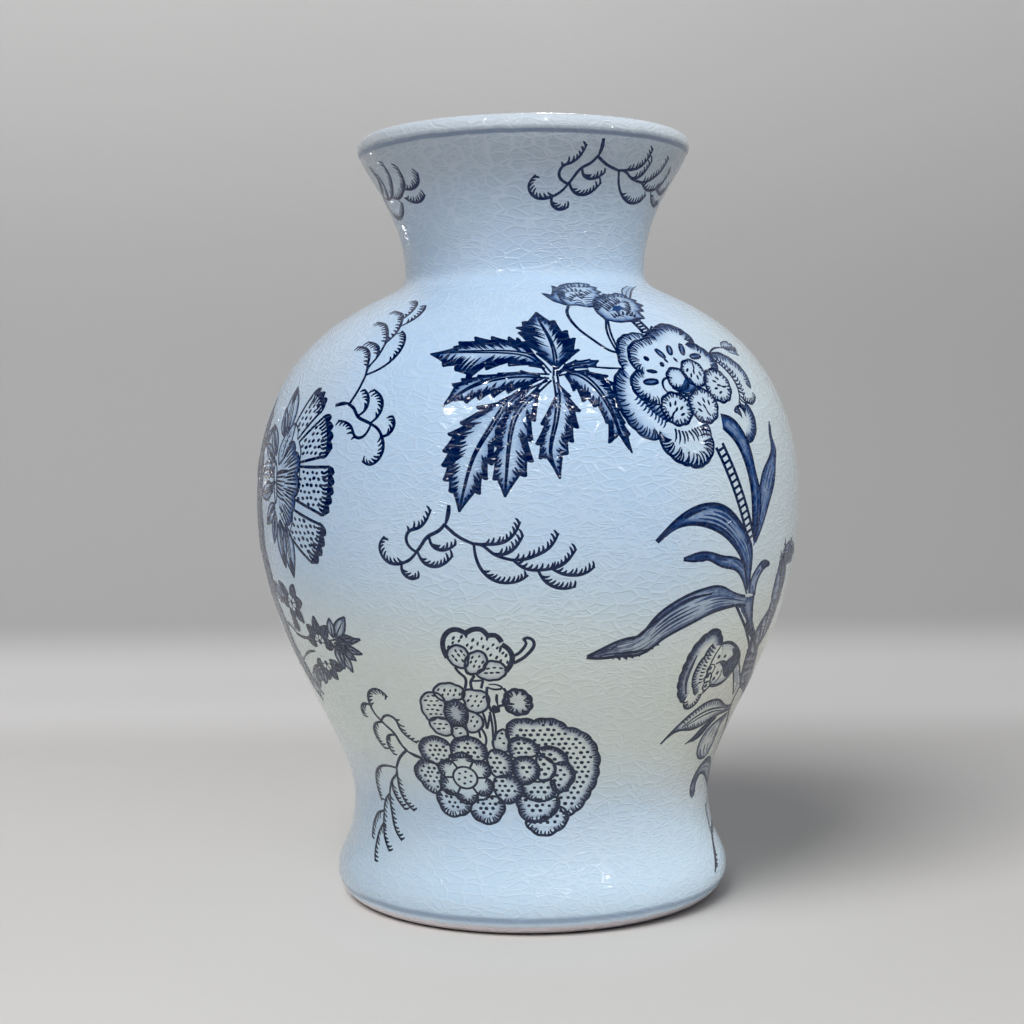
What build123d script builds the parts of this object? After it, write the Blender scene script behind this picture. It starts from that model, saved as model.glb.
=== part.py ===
"""Baluster vase of glazed porcelain: a trumpet neck, a two-part body, a spreading foot and a base plate.

The sections are rings of one wall, stuck together with slip in stepped half-lap joints, and glazed inside and out.
Millimetres. The origin is the centre of the foot ring on the table plane, and +Z is up.
"""
from build123d import *
from math import cos, radians, sin
import os

# Overall sizes
HEIGHT = 300.0
THICKNESS = 5.6  # glazed wall, from the outer glaze surface to the inner one
GLAZE = 0.4  # one coat
LUTE = 0.4  # slip between two sections

# Stations of the outer profile: radius, height, direction in degrees from +R, handle below, handle above
FOOT = (78.4, 10.3, 90.0, 5.6, 8.4)
WAIST = (71.4, 39.8, 90.0, 18.5, 26.0)
BELLY = (108.1, 156.6, 90.0, 55.0, 53.0)
ROOT = (59.8, 236.4, 153.8, 20.5, 8.5)
NECK = (47.8, 246.9, 90.0, 5.5, 24.5)
UNDERLIP = (64.9, 293.0, 76.0, 6.8, 1.2)

# Rolled lip: outside and inside radius of the roll, and the radius of its crown
LIP_OUTER_R = 66.1
LIP_INNER_R = 57.4
LIP_CROWN_R = 61.7
LIP_Z = 296.4
LIP_HANDLE = 2.4  # roundness of the roll's upper half
LIP_FALL = 14.0  # how gently the inside of the lip runs down into the throat
THROAT_RISE = 19.6

# Foot ring, floor and the glazed recess under the floor
CONTACT_R = 70.0
CONTACT_HANDLE = 3.2
CONTACT_RISE = 0.6
RING_INNER_R = 62.5
RING_EDGE = 1.0
RECESS_Z = 6.4
FLOOR_Z = 14.4
HEEL_R = 66.2
HEEL_RADIUS = 8.0
BARE_FOOT = 1.2  # the glaze stops this far above the table
BARE_RING = 2.0  # and this far inside the ring

# Half-lap joints: height of the seam outside, radius halfway through the wall, length of the tongue
WALL_MIDDLE = THICKNESS / 2
LAP = 6.0
BELLY_SEAM_Z = BELLY[1]
WAIST_SEAM_Z = WAIST[1] + 4.0
NECK_SEAM_R = ROOT[0]
NECK_LEDGE = 4.0
NECK_LEDGE_Z = ROOT[1] - 2.0
PLATE_R = 57.0
PLATE_LEDGE = 5.0
PLATE_LEDGE_Z = (RECESS_Z + FLOOR_Z) / 2

# Bounds of the section plane that take in the whole half profile
OUTSIDE_R = 130.0
ABOVE_Z = HEIGHT + 20.0
BELOW_Z = -20.0


def inset(station, depth):
    """Point of a station, moved `depth` into the wall along its normal."""
    radius, height, direction = station[:3]
    return (radius - depth * sin(radians(direction)), height + depth * cos(radians(direction)))


def ahead(station, depth, length):
    """Point `length` further along the profile from an inset station. A negative length looks back."""
    radius, height = inset(station, depth)
    direction = radians(station[2])
    return (radius + length * cos(direction), height + length * sin(direction))


def span(lower, upper, depth):
    """Smooth curve from one station to the next, `depth` under the outer glaze surface."""
    start = Vector(*inset(lower, depth))
    end = Vector(*inset(upper, depth))
    stretch = (end - start).length / (Vector(*lower[:2]) - Vector(*upper[:2])).length
    leave = ahead(lower, depth, lower[4] * stretch)
    arrive = ahead(upper, depth, -upper[3] * stretch)
    Bezier(start, leave, arrive, end)


def lip_quarter(side_r, crown_z):
    """Rounded quarter of the lip, from its side up to its crown."""
    overhang = (LIP_CROWN_R - side_r) / 2
    side = (side_r, LIP_Z)
    Bezier(side, (side_r, LIP_Z + LIP_HANDLE), (side_r + overhang, crown_z), (LIP_CROWN_R, crown_z))


def vase_section(skin, mode=Mode.ADD):
    """Half section through the wall, floor and foot, with every glazed surface cut back by `skin`."""
    inside = THICKNESS - skin
    crown_z = HEIGHT - skin
    outer_r = LIP_OUTER_R - skin
    inner_r = LIP_INNER_R + skin
    floor_z = FLOOR_Z - skin
    heel_r = HEEL_R + skin
    recess_z = RECESS_Z - GLAZE + skin
    ring_r = RING_INNER_R - GLAZE + skin
    waist_inside = inset(WAIST, inside)
    with BuildLine() as outline:
        # outside, from the table to the lip
        contact = (CONTACT_R + GLAZE - skin, 0)
        foot = inset(FOOT, skin)
        Bezier(contact, (contact[0] + CONTACT_HANDLE, CONTACT_RISE), (foot[0], foot[1] - FOOT[3]), foot)
        span(FOOT, WAIST, skin)
        span(WAIST, BELLY, skin)
        span(BELLY, ROOT, skin)
        span(ROOT, NECK, skin)
        span(NECK, UNDERLIP, skin)
        under = inset(UNDERLIP, skin)
        Bezier(under, (outer_r, under[1] + UNDERLIP[4]), (outer_r, LIP_Z - UNDERLIP[4]), (outer_r, LIP_Z))
        lip_quarter(outer_r, crown_z)
        # inside, from the lip to the floor
        lip_quarter(inner_r, crown_z)
        throat = inset(NECK, inside)
        Bezier((inner_r, LIP_Z), (inner_r, LIP_Z - LIP_FALL), (throat[0], throat[1] + THROAT_RISE), throat)
        span(ROOT, NECK, inside)
        span(BELLY, ROOT, inside)
        span(WAIST, BELLY, inside)
        heel = (heel_r, floor_z + HEEL_RADIUS)
        Bezier(waist_inside, (waist_inside[0], WAIST[1] - LAP), (heel_r, heel[1] + LAP), heel)
        floor_edge = (heel_r - HEEL_RADIUS, floor_z)
        RadiusArc(heel, floor_edge, HEEL_RADIUS)
        # floor, recess and foot ring
        ring_top = (ring_r, recess_z)
        ring_bottom = (ring_r, RING_EDGE)
        Polyline(floor_edge, (0, floor_z), (0, recess_z), ring_top, ring_bottom, (ring_r + RING_EDGE, 0), contact)
    make_face(outline.edges(), mode=mode)


def above_seam(station, seam_z, grow, mode):
    """Everything above a half-lap joint in the wall, grown by `grow` towards the section below it."""
    middle_r = station[0] - WALL_MIDDLE - grow
    Polygon(
        (OUTSIDE_R, ABOVE_Z),
        (0, ABOVE_Z),
        (0, seam_z + LAP - grow),
        (middle_r, seam_z + LAP - grow),
        (middle_r, seam_z - grow),
        (OUTSIDE_R, seam_z - grow),
        align=None,
        mode=mode,
    )


def above_waist(grow, mode):
    """The lower body and all that stands on it."""
    above_seam(WAIST, WAIST_SEAM_Z, grow, mode)


def above_belly(grow, mode):
    """The upper body and the neck."""
    above_seam(BELLY, BELLY_SEAM_Z, grow, mode)


def neck_zone(grow, mode):
    """The neck, whose root drops into a ledge round the shoulder's opening."""
    Polygon(
        (0, ABOVE_Z),
        (0, BELLY_SEAM_Z + LAP * 2),
        (NECK_SEAM_R - NECK_LEDGE + grow, BELLY_SEAM_Z + LAP * 2),
        (NECK_SEAM_R - NECK_LEDGE + grow, NECK_LEDGE_Z - grow),
        (NECK_SEAM_R + grow, NECK_LEDGE_Z - grow),
        (NECK_SEAM_R + grow, NECK[1]),
        (OUTSIDE_R, NECK[1]),
        (OUTSIDE_R, ABOVE_Z),
        align=None,
        mode=mode,
    )


def plate_zone(grow, mode):
    """The base plate, a stepped disc that rests on a ledge inside the foot."""
    Polygon(
        (0, BELOW_Z),
        (PLATE_R - PLATE_LEDGE + grow, BELOW_Z),
        (PLATE_R - PLATE_LEDGE + grow, PLATE_LEDGE_Z - grow),
        (PLATE_R + grow, PLATE_LEDGE_Z - grow),
        (PLATE_R + grow, WAIST[1]),
        (0, WAIST[1]),
        align=None,
        mode=mode,
    )


def outside_zone(mode):
    """Everything outside the middle of the wall, and the whole lip above the meeting line of the coats."""
    foot_middle = inset(FOOT, WALL_MIDDLE)
    lip_middle = inset(UNDERLIP, WALL_MIDDLE)
    ring_middle_r = (RING_INNER_R + CONTACT_R) / 2
    with BuildLine() as outline:
        span(FOOT, WAIST, WALL_MIDDLE)
        span(WAIST, BELLY, WALL_MIDDLE)
        span(BELLY, ROOT, WALL_MIDDLE)
        span(ROOT, NECK, WALL_MIDDLE)
        span(NECK, UNDERLIP, WALL_MIDDLE)
        Polyline(lip_middle, (0, lip_middle[1]), (0, ABOVE_Z), (OUTSIDE_R, ABOVE_Z), (OUTSIDE_R, BELOW_Z),
                 (ring_middle_r, BELOW_Z), (ring_middle_r, RECESS_Z), foot_middle)
    make_face(outline.edges(), mode=mode)


def layer(low_z, high_z, mode):
    """Everything between two heights."""
    with Locations((OUTSIDE_R / 2, (low_z + high_z) / 2)):
        Rectangle(OUTSIDE_R, high_z - low_z, mode=mode)


os.makedirs("parts", exist_ok=True)

# Biscuit sections, from the lip down

with BuildPart() as neck_section:
    with BuildSketch(Plane.XZ):
        vase_section(GLAZE)
        neck_zone(0, Mode.INTERSECT)
    revolve(axis=Axis.Z)
neck_section.part.label = "neck_section"
export_step(neck_section.part, "parts/neck_section.step")

with BuildPart() as upper_body:
    with BuildSketch(Plane.XZ):
        vase_section(GLAZE)
        above_belly(0, Mode.INTERSECT)
        neck_zone(LUTE, Mode.SUBTRACT)
    revolve(axis=Axis.Z)
upper_body.part.label = "upper_body"
export_step(upper_body.part, "parts/upper_body.step")

with BuildPart() as lower_body:
    with BuildSketch(Plane.XZ):
        vase_section(GLAZE)
        above_waist(0, Mode.INTERSECT)
        above_belly(LUTE, Mode.SUBTRACT)
    revolve(axis=Axis.Z)
lower_body.part.label = "lower_body"
export_step(lower_body.part, "parts/lower_body.step")

with BuildPart() as foot_section:
    with BuildSketch(Plane.XZ):
        vase_section(GLAZE)
        above_waist(LUTE, Mode.SUBTRACT)
        plate_zone(LUTE, Mode.SUBTRACT)
    revolve(axis=Axis.Z)
foot_section.part.label = "foot_section"
export_step(foot_section.part, "parts/foot_section.step")

with BuildPart() as base_plate:
    with BuildSketch(Plane.XZ):
        vase_section(GLAZE)
        plate_zone(0, Mode.INTERSECT)
    revolve(axis=Axis.Z)
base_plate.part.label = "base_plate"
export_step(base_plate.part, "parts/base_plate.step")

# Slip seams: what lies between a section's zone and the same zone grown by the seam

with BuildPart() as neck_lute:
    with BuildSketch(Plane.XZ):
        vase_section(GLAZE)
        neck_zone(LUTE, Mode.INTERSECT)
        neck_zone(0, Mode.SUBTRACT)
    revolve(axis=Axis.Z)
neck_lute.part.label = "neck_lute"
export_step(neck_lute.part, "parts/neck_lute.step")

with BuildPart() as belly_lute:
    with BuildSketch(Plane.XZ):
        vase_section(GLAZE)
        above_belly(LUTE, Mode.INTERSECT)
        above_belly(0, Mode.SUBTRACT)
    revolve(axis=Axis.Z)
belly_lute.part.label = "belly_lute"
export_step(belly_lute.part, "parts/belly_lute.step")

with BuildPart() as waist_lute:
    with BuildSketch(Plane.XZ):
        vase_section(GLAZE)
        above_waist(LUTE, Mode.INTERSECT)
        above_waist(0, Mode.SUBTRACT)
    revolve(axis=Axis.Z)
waist_lute.part.label = "waist_lute"
export_step(waist_lute.part, "parts/waist_lute.step")

with BuildPart() as base_lute:
    with BuildSketch(Plane.XZ):
        vase_section(GLAZE)
        plate_zone(LUTE, Mode.INTERSECT)
        plate_zone(0, Mode.SUBTRACT)
    revolve(axis=Axis.Z)
base_lute.part.label = "base_lute"
export_step(base_lute.part, "parts/base_lute.step")

# Glaze coats: the glazed outline less the biscuit. The outer coat wraps the lip and meets the poured one
# just inside the mouth, and the contact edge of the foot stays bare.

with BuildPart() as outer_glaze:
    with BuildSketch(Plane.XZ):
        vase_section(0)
        vase_section(GLAZE, Mode.SUBTRACT)
        outside_zone(Mode.INTERSECT)
        layer(BARE_FOOT, ABOVE_Z, Mode.INTERSECT)
    revolve(axis=Axis.Z)
outer_glaze.part.label = "outer_glaze"
export_step(outer_glaze.part, "parts/outer_glaze.step")

with BuildPart() as inner_glaze:
    with BuildSketch(Plane.XZ):
        vase_section(0)
        vase_section(GLAZE, Mode.SUBTRACT)
        outside_zone(Mode.SUBTRACT)
        layer(PLATE_LEDGE_Z, ABOVE_Z, Mode.INTERSECT)
    revolve(axis=Axis.Z)
inner_glaze.part.label = "inner_glaze"
export_step(inner_glaze.part, "parts/inner_glaze.step")

with BuildPart() as base_glaze:
    with BuildSketch(Plane.XZ):
        vase_section(0)
        vase_section(GLAZE, Mode.SUBTRACT)
        outside_zone(Mode.SUBTRACT)
        layer(BARE_RING, PLATE_LEDGE_Z, Mode.INTERSECT)
    revolve(axis=Axis.Z)
base_glaze.part.label = "base_glaze"
export_step(base_glaze.part, "parts/base_glaze.step")
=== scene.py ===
"""Looks of the porcelain vase: a crackled blue-white glaze with printed sprigs of flowers, on a sweep.

The vase is a turned form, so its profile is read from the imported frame. The glaze is spun from that profile
as one fine mesh, and every printed sprig is drawn on a flat chart in millimetres and bent round the vase.
"""

import math
import random

import bpy
import numpy as np
from mathutils import Euler, Matrix, Vector, geometry


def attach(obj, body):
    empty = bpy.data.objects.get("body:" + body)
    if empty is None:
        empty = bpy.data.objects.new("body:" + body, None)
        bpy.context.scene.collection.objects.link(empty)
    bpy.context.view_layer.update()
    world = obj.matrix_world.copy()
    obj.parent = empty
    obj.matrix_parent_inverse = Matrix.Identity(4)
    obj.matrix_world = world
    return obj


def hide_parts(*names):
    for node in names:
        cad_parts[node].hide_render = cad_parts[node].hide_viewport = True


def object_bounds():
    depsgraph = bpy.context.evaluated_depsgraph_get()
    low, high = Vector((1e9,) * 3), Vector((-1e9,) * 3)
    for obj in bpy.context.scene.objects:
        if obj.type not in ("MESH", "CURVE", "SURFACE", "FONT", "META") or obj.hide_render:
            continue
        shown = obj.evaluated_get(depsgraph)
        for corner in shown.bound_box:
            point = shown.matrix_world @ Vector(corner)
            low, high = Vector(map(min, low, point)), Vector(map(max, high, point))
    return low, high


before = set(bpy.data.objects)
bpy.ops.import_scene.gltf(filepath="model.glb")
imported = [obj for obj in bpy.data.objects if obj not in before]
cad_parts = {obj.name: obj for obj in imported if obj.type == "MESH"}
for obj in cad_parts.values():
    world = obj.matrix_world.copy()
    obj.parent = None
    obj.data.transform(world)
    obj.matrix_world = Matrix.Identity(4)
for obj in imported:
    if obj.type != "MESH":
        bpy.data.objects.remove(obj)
CAD_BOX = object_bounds()

MM = 0.001

# Reading the section of a turned node, lengths in mm
FINE_POINTS = 6000  # points of the glaze's face, for reading places off it
SMOOTH_POINTS = 4000  # points of one run, for spacing its rings
BEND_WINDOW = 41  # of those, the number that the bend is averaged over
CORNER_COSINE = 0.6  # two edges whose directions agree less than this meet in a corner

# Glaze mesh
AROUND = 300  # faces round the vase
RING_STEP = 1.9  # distance between rings where the profile is straight, mm
RING_STEP_HIDDEN = 6.0  # and on the side of the coat that lies on the biscuit
BEND_PER_RING = 7.0  # most that the profile turns between two rings, degrees
SHARP_ANGLE = 50.0  # edges that turn by more than this stay crisp, degrees
RIPPLE = 0.045  # unevenness of the glaze, mm
RIPPLE_WAVES = ((3, 31, 0.0), (5, -19, 1.3), (2, 11, 2.1))  # waves round, mm up for each radian, phase
RIPPLE_FADE = 30.0  # distance from the foot or the lip over which it comes in, mm

# Ink, as height over the glaze in mm
BURIED = -0.03
WASH_LIFT = 0.02
LAYER = 0.01  # a tint laid over another one
STROKE_LIFT = 0.055
MARK_STEP = 0.0008  # crossing marks never share a plane
MARK_LEVELS = 12

# Shape of a pen line, a spot and a row of bumps
PEN = 1.13  # every line is drawn this much wider than its chart says
CROWN_SHARE = 0.7  # width of its top, as a share of its foot
SWELL, TAIL = 0.3, 0.45  # shares of its length over which it swells at its start and thins to its end
COMB_ARCH = 0.12  # bend of a short stroke, as a share of its length
BUMP_STEPS = 6
DOT_SIDES = 8
DOT_CROWN_SHARE = 0.8
SHADE_ROWS = ((0.0, 1.0), (0.3, 0.75), (0.62, 0.32), (1.0, 0.0))  # share of the depth, and of the tone


# ------------------------------------------------------------------ curves

def along(path):
    """Distance of each point from the start of a path."""
    steps = np.linalg.norm(np.diff(path, axis=0), axis=1)
    return np.concatenate([[0.0], np.cumsum(steps)])


def spline(points, at):
    """Natural cubic spline through points, read at distances `at` along their chords."""
    points = np.asarray(points, float)
    knot = along(points)
    gap = np.diff(knot)
    count = len(points)
    matrix = np.eye(count)
    right = np.zeros_like(points)
    for i in range(1, count - 1):
        matrix[i, i - 1:i + 2] = gap[i - 1], 2 * (gap[i - 1] + gap[i]), gap[i]
        right[i] = 6 * ((points[i + 1] - points[i]) / gap[i] - (points[i] - points[i - 1]) / gap[i - 1])
    bend = np.linalg.solve(matrix, right)
    k = np.clip(np.searchsorted(knot, at, side="right") - 1, 0, count - 2)
    h = gap[k][:, None]
    a = (knot[k + 1] - at)[:, None] / h
    b = 1 - a
    return a * points[k] + b * points[k + 1] + ((a**3 - a) * bend[k] + (b**3 - b) * bend[k + 1]) * h * h / 6


def smooth(path, step=0.8):
    """Even points along a smooth curve through a few given ones."""
    path = np.asarray(path, float)
    length = along(path)[-1]
    count = max(3, int(round(length / step)) + 1)
    at = np.linspace(0, length, count)
    if len(path) < 3:
        return path[0] + (path[1] - path[0]) * (at / length)[:, None]
    return spline(path, at)


def straight(path, step=0.8):
    """Even points along straight pieces between given points."""
    path = np.asarray(path, float)
    knot = along(path)
    at = np.linspace(0, knot[-1], max(3, int(round(knot[-1] / step)) + 1))
    return read_line(path, knot, at)


def trace(path, step, curved):
    """Even points along a path, taken as a smooth curve or as straight pieces."""
    return smooth(path, step) if curved else straight(path, step)


def read_line(line, distance, at):
    """Points of a line, whose own points lie at `distance` along it, at other distances."""
    return np.stack([np.interp(at, distance, line[:, axis]) for axis in (0, 1)], axis=-1)


def heading(line):
    """Unit direction of a line at each of its points."""
    ahead = np.gradient(line, axis=0)
    return ahead / np.maximum(np.linalg.norm(ahead, axis=1), 1e-9)[:, None]


def leftward(ahead):
    """Directions a quarter turn to the left of others."""
    return np.c_[-ahead[:, 1], ahead[:, 0]]


def scallops(cusps, bulge, closed=False):
    """A row of rounded bumps from cusp to cusp, standing out to the left of the way they run."""
    cusps = [np.asarray(c, float) for c in cusps]
    if closed:
        cusps.append(cusps[0])
    points = [cusps[0]]
    for start, end in zip(cusps, cusps[1:]):
        chord = end - start
        out = np.array([-chord[1], chord[0]]) * bulge
        for t in np.linspace(0, 1, BUMP_STEPS + 1)[1:]:
            points.append(start + chord * t + out * math.sin(math.pi * t))
    return np.array(points)


def ring(centre, radius, lobes, bulge=0.3, squash=1.0, tilt=0.0):
    """Closed scalloped outline, clockwise, as of a small round petal."""
    turns = np.radians(tilt) - np.linspace(0, 2 * math.pi, lobes + 1)[:-1]
    cusps = [(centre[0] + radius * math.cos(a), centre[1] + radius * squash * math.sin(a)) for a in turns]
    return scallops(cusps, bulge, closed=True)


def turned(points, degrees):
    """Points turned counter-clockwise about the chart's origin."""
    c, s = math.cos(math.radians(degrees)), math.sin(math.radians(degrees))
    return np.asarray(points, float) @ np.array([[c, s], [-s, c]])


def inside(points, outline):
    """Whether each point lies inside a closed outline."""
    hit = np.zeros(len(points), bool)
    for (ax, ay), (bx, by) in zip(outline, np.roll(outline, -1, axis=0)):
        crosses = (ay > points[:, 1]) != (by > points[:, 1])
        with np.errstate(divide="ignore", invalid="ignore"):
            hit ^= crosses & (points[:, 0] < (bx - ax) * (points[:, 1] - ay) / (by - ay) + ax)
    return hit


def clearance(points, outline):
    """Distance of each point from a closed outline."""
    best = np.full(len(points), np.inf)
    for a, b in zip(outline, np.roll(outline, -1, axis=0)):
        span = b - a
        t = np.clip(((points - a) @ span) / max(span @ span, 1e-9), 0, 1)
        best = np.minimum(best, np.linalg.norm(points - a - t[:, None] * span, axis=1))
    return best


ROW_SHARE = 0.87  # rows of staggered points lie this share of their pitch apart


def lattice(outline, pitch, margin):
    """Staggered points inside a closed outline, at least `margin` from it."""
    low, high = outline.min(0), outline.max(0)
    rows = np.arange(low[1] + margin, high[1], pitch * ROW_SHARE)
    columns = np.arange(low[0], high[0], pitch)
    points = [(u + (k % 2) * pitch / 2, v) for k, v in enumerate(rows) for u in columns]
    points = np.array(points).reshape(-1, 2)
    points = points[inside(points, outline)]
    return points[clearance(points, outline) > margin]


# ------------------------------------------------------------------ the vase's profile, from the frame

def section_loop(node):
    """Closed section of a turned CAD node as radius and height in mm, from its edges in the +X half."""
    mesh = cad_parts[node].data
    place = {}
    for vertex in mesh.vertices:
        if abs(vertex.co.y) < 1e-6 and vertex.co.x > 0:
            place[vertex.index] = (round(vertex.co.x / MM, 3), round(vertex.co.z / MM, 3))
    beside = {}
    for edge in mesh.edges:
        ends = [place.get(i) for i in edge.vertices]
        if None not in ends and ends[0] != ends[1]:
            beside.setdefault(ends[0], set()).add(ends[1])
            beside.setdefault(ends[1], set()).add(ends[0])
    start = min(beside, key=lambda point: (point[1], -point[0]))
    loop = [start, max(beside[start], key=lambda point: point[1])]
    while True:
        onward = [point for point in beside[loop[-1]] if point != loop[-2]]
        if onward[0] == start:
            return np.array(loop)
        loop.append(onward[0])


def split_at_corners(loop):
    """Smooth runs of a closed section that starts at a corner."""
    back = loop - np.roll(loop, 1, axis=0)
    ahead = np.roll(loop, -1, axis=0) - loop
    cosine = (back * ahead).sum(1) / np.linalg.norm(back, axis=1) / np.linalg.norm(ahead, axis=1)
    corners = [i for i in range(len(loop)) if i == 0 or cosine[i] < CORNER_COSINE]
    closed = np.vstack([loop, loop[:1]])
    return [closed[a:b + 1] for a, b in zip(corners, corners[1:] + [len(loop)])]


def resample(run, step):
    """Points along a smooth run, closer together where it bends."""
    if len(run) < 4:
        return run
    fine = spline(run, np.linspace(0, along(run)[-1], SMOOTH_POINTS))
    pieces = np.diff(fine, axis=0)
    direction = np.unwrap(np.arctan2(pieces[:, 1], pieces[:, 0]))
    bend = np.convolve(np.abs(np.gradient(direction)), np.ones(BEND_WINDOW) / BEND_WINDOW, "same")
    rings = np.maximum(np.linalg.norm(pieces, axis=1) / step, bend / math.radians(BEND_PER_RING))
    share = np.concatenate([[0], np.cumsum(rings)])
    return read_line(fine, share, np.linspace(0, share[-1], int(round(share[-1])) + 1))


GLAZE_RUNS = split_at_corners(section_loop("outer_glaze"))
FACE = spline(GLAZE_RUNS[0], np.linspace(0, along(GLAZE_RUNS[0])[-1], FINE_POINTS))
FACE_RUN = along(FACE)
CROWN = int(FACE[:, 1].argmax())
FACE_AHEAD = heading(FACE)


def run_at(height):
    """Distance along the profile, from the glaze's lower edge, of a height in mm."""
    return np.interp(height, FACE[:CROWN, 1], FACE_RUN[:CROWN])


def radius_at(run):
    """Radius of the glaze's face at a distance along the profile, mm."""
    return np.interp(run, FACE_RUN, FACE[:, 0])


def ripple(turn, run):
    """Unevenness of the glaze: long soft waves, which fade out at the lip and at the foot."""
    wave = sum(np.sin(count * turn + run / rise + phase) for count, rise, phase in RIPPLE_WAVES)
    fade = np.clip(run / RIPPLE_FADE, 0, 1) * np.clip((FACE_RUN[CROWN] - run) / RIPPLE_FADE, 0, 1)
    return RIPPLE / len(RIPPLE_WAVES) * wave * fade


def spun(radius, turn, height):
    """Points in metres from mm, `turn` round from the front (-Y) towards +X."""
    return np.stack(np.broadcast_arrays(radius * np.sin(turn), -radius * np.cos(turn), height),
                    axis=-1) * MM


def on_vase(turn, run, lift):
    """Points in metres, `turn` round the vase, `run` up the profile and `lift` proud of it, both in mm."""
    lift = lift + ripple(turn, run)
    radius = radius_at(run) + lift * np.interp(run, FACE_RUN, FACE_AHEAD[:, 1])
    height = np.interp(run, FACE_RUN, FACE[:, 1]) - lift * np.interp(run, FACE_RUN, FACE_AHEAD[:, 0])
    return spun(radius, turn, height)


def new_object(name, points, faces, material):
    """A mesh object of one material, in the scene."""
    mesh = bpy.data.meshes.new(name)
    mesh.from_pydata(points, [], faces)
    mesh.materials.append(material)
    thing = bpy.data.objects.new(name, mesh)
    bpy.context.scene.collection.objects.link(thing)
    return thing


def glaze_coat(material):
    """The glaze as one spun mesh: its face from the foot over the lip, and its hidden side back down."""
    turns = np.linspace(0, 2 * math.pi, AROUND, endpoint=False)
    face = resample(GLAZE_RUNS[0], RING_STEP)
    runs = np.interp(along(face), [0, along(face)[-1]], [0, FACE_RUN[-1]])
    rings = [on_vase(turns, np.full(AROUND, run), 0.0) for run in runs]
    hidden = np.vstack([resample(run, RING_STEP_HIDDEN)[1:-1] for run in GLAZE_RUNS[1:] if len(run) > 3])
    corners = [run[-1] for run in GLAZE_RUNS[1:-1]]
    hidden = np.vstack([corners[:1], hidden, corners[1:]])
    rings.extend(spun(radius, turns, height) for radius, height in hidden)
    count = len(rings)
    here = np.arange(AROUND)
    beside = (here + 1) % AROUND
    faces = []
    for k in range(count):
        low, high = k * AROUND, (k + 1) % count * AROUND
        faces.extend(np.stack([low + here, low + beside, high + beside, high + here], 1).tolist())
    coat = new_object("glaze_coat", np.concatenate(rings).tolist(), faces, material)
    coat.data.shade_smooth()
    coat.data.set_sharp_from_angle(angle=math.radians(SHARP_ANGLE))
    return coat


# ------------------------------------------------------------------ ink

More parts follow.
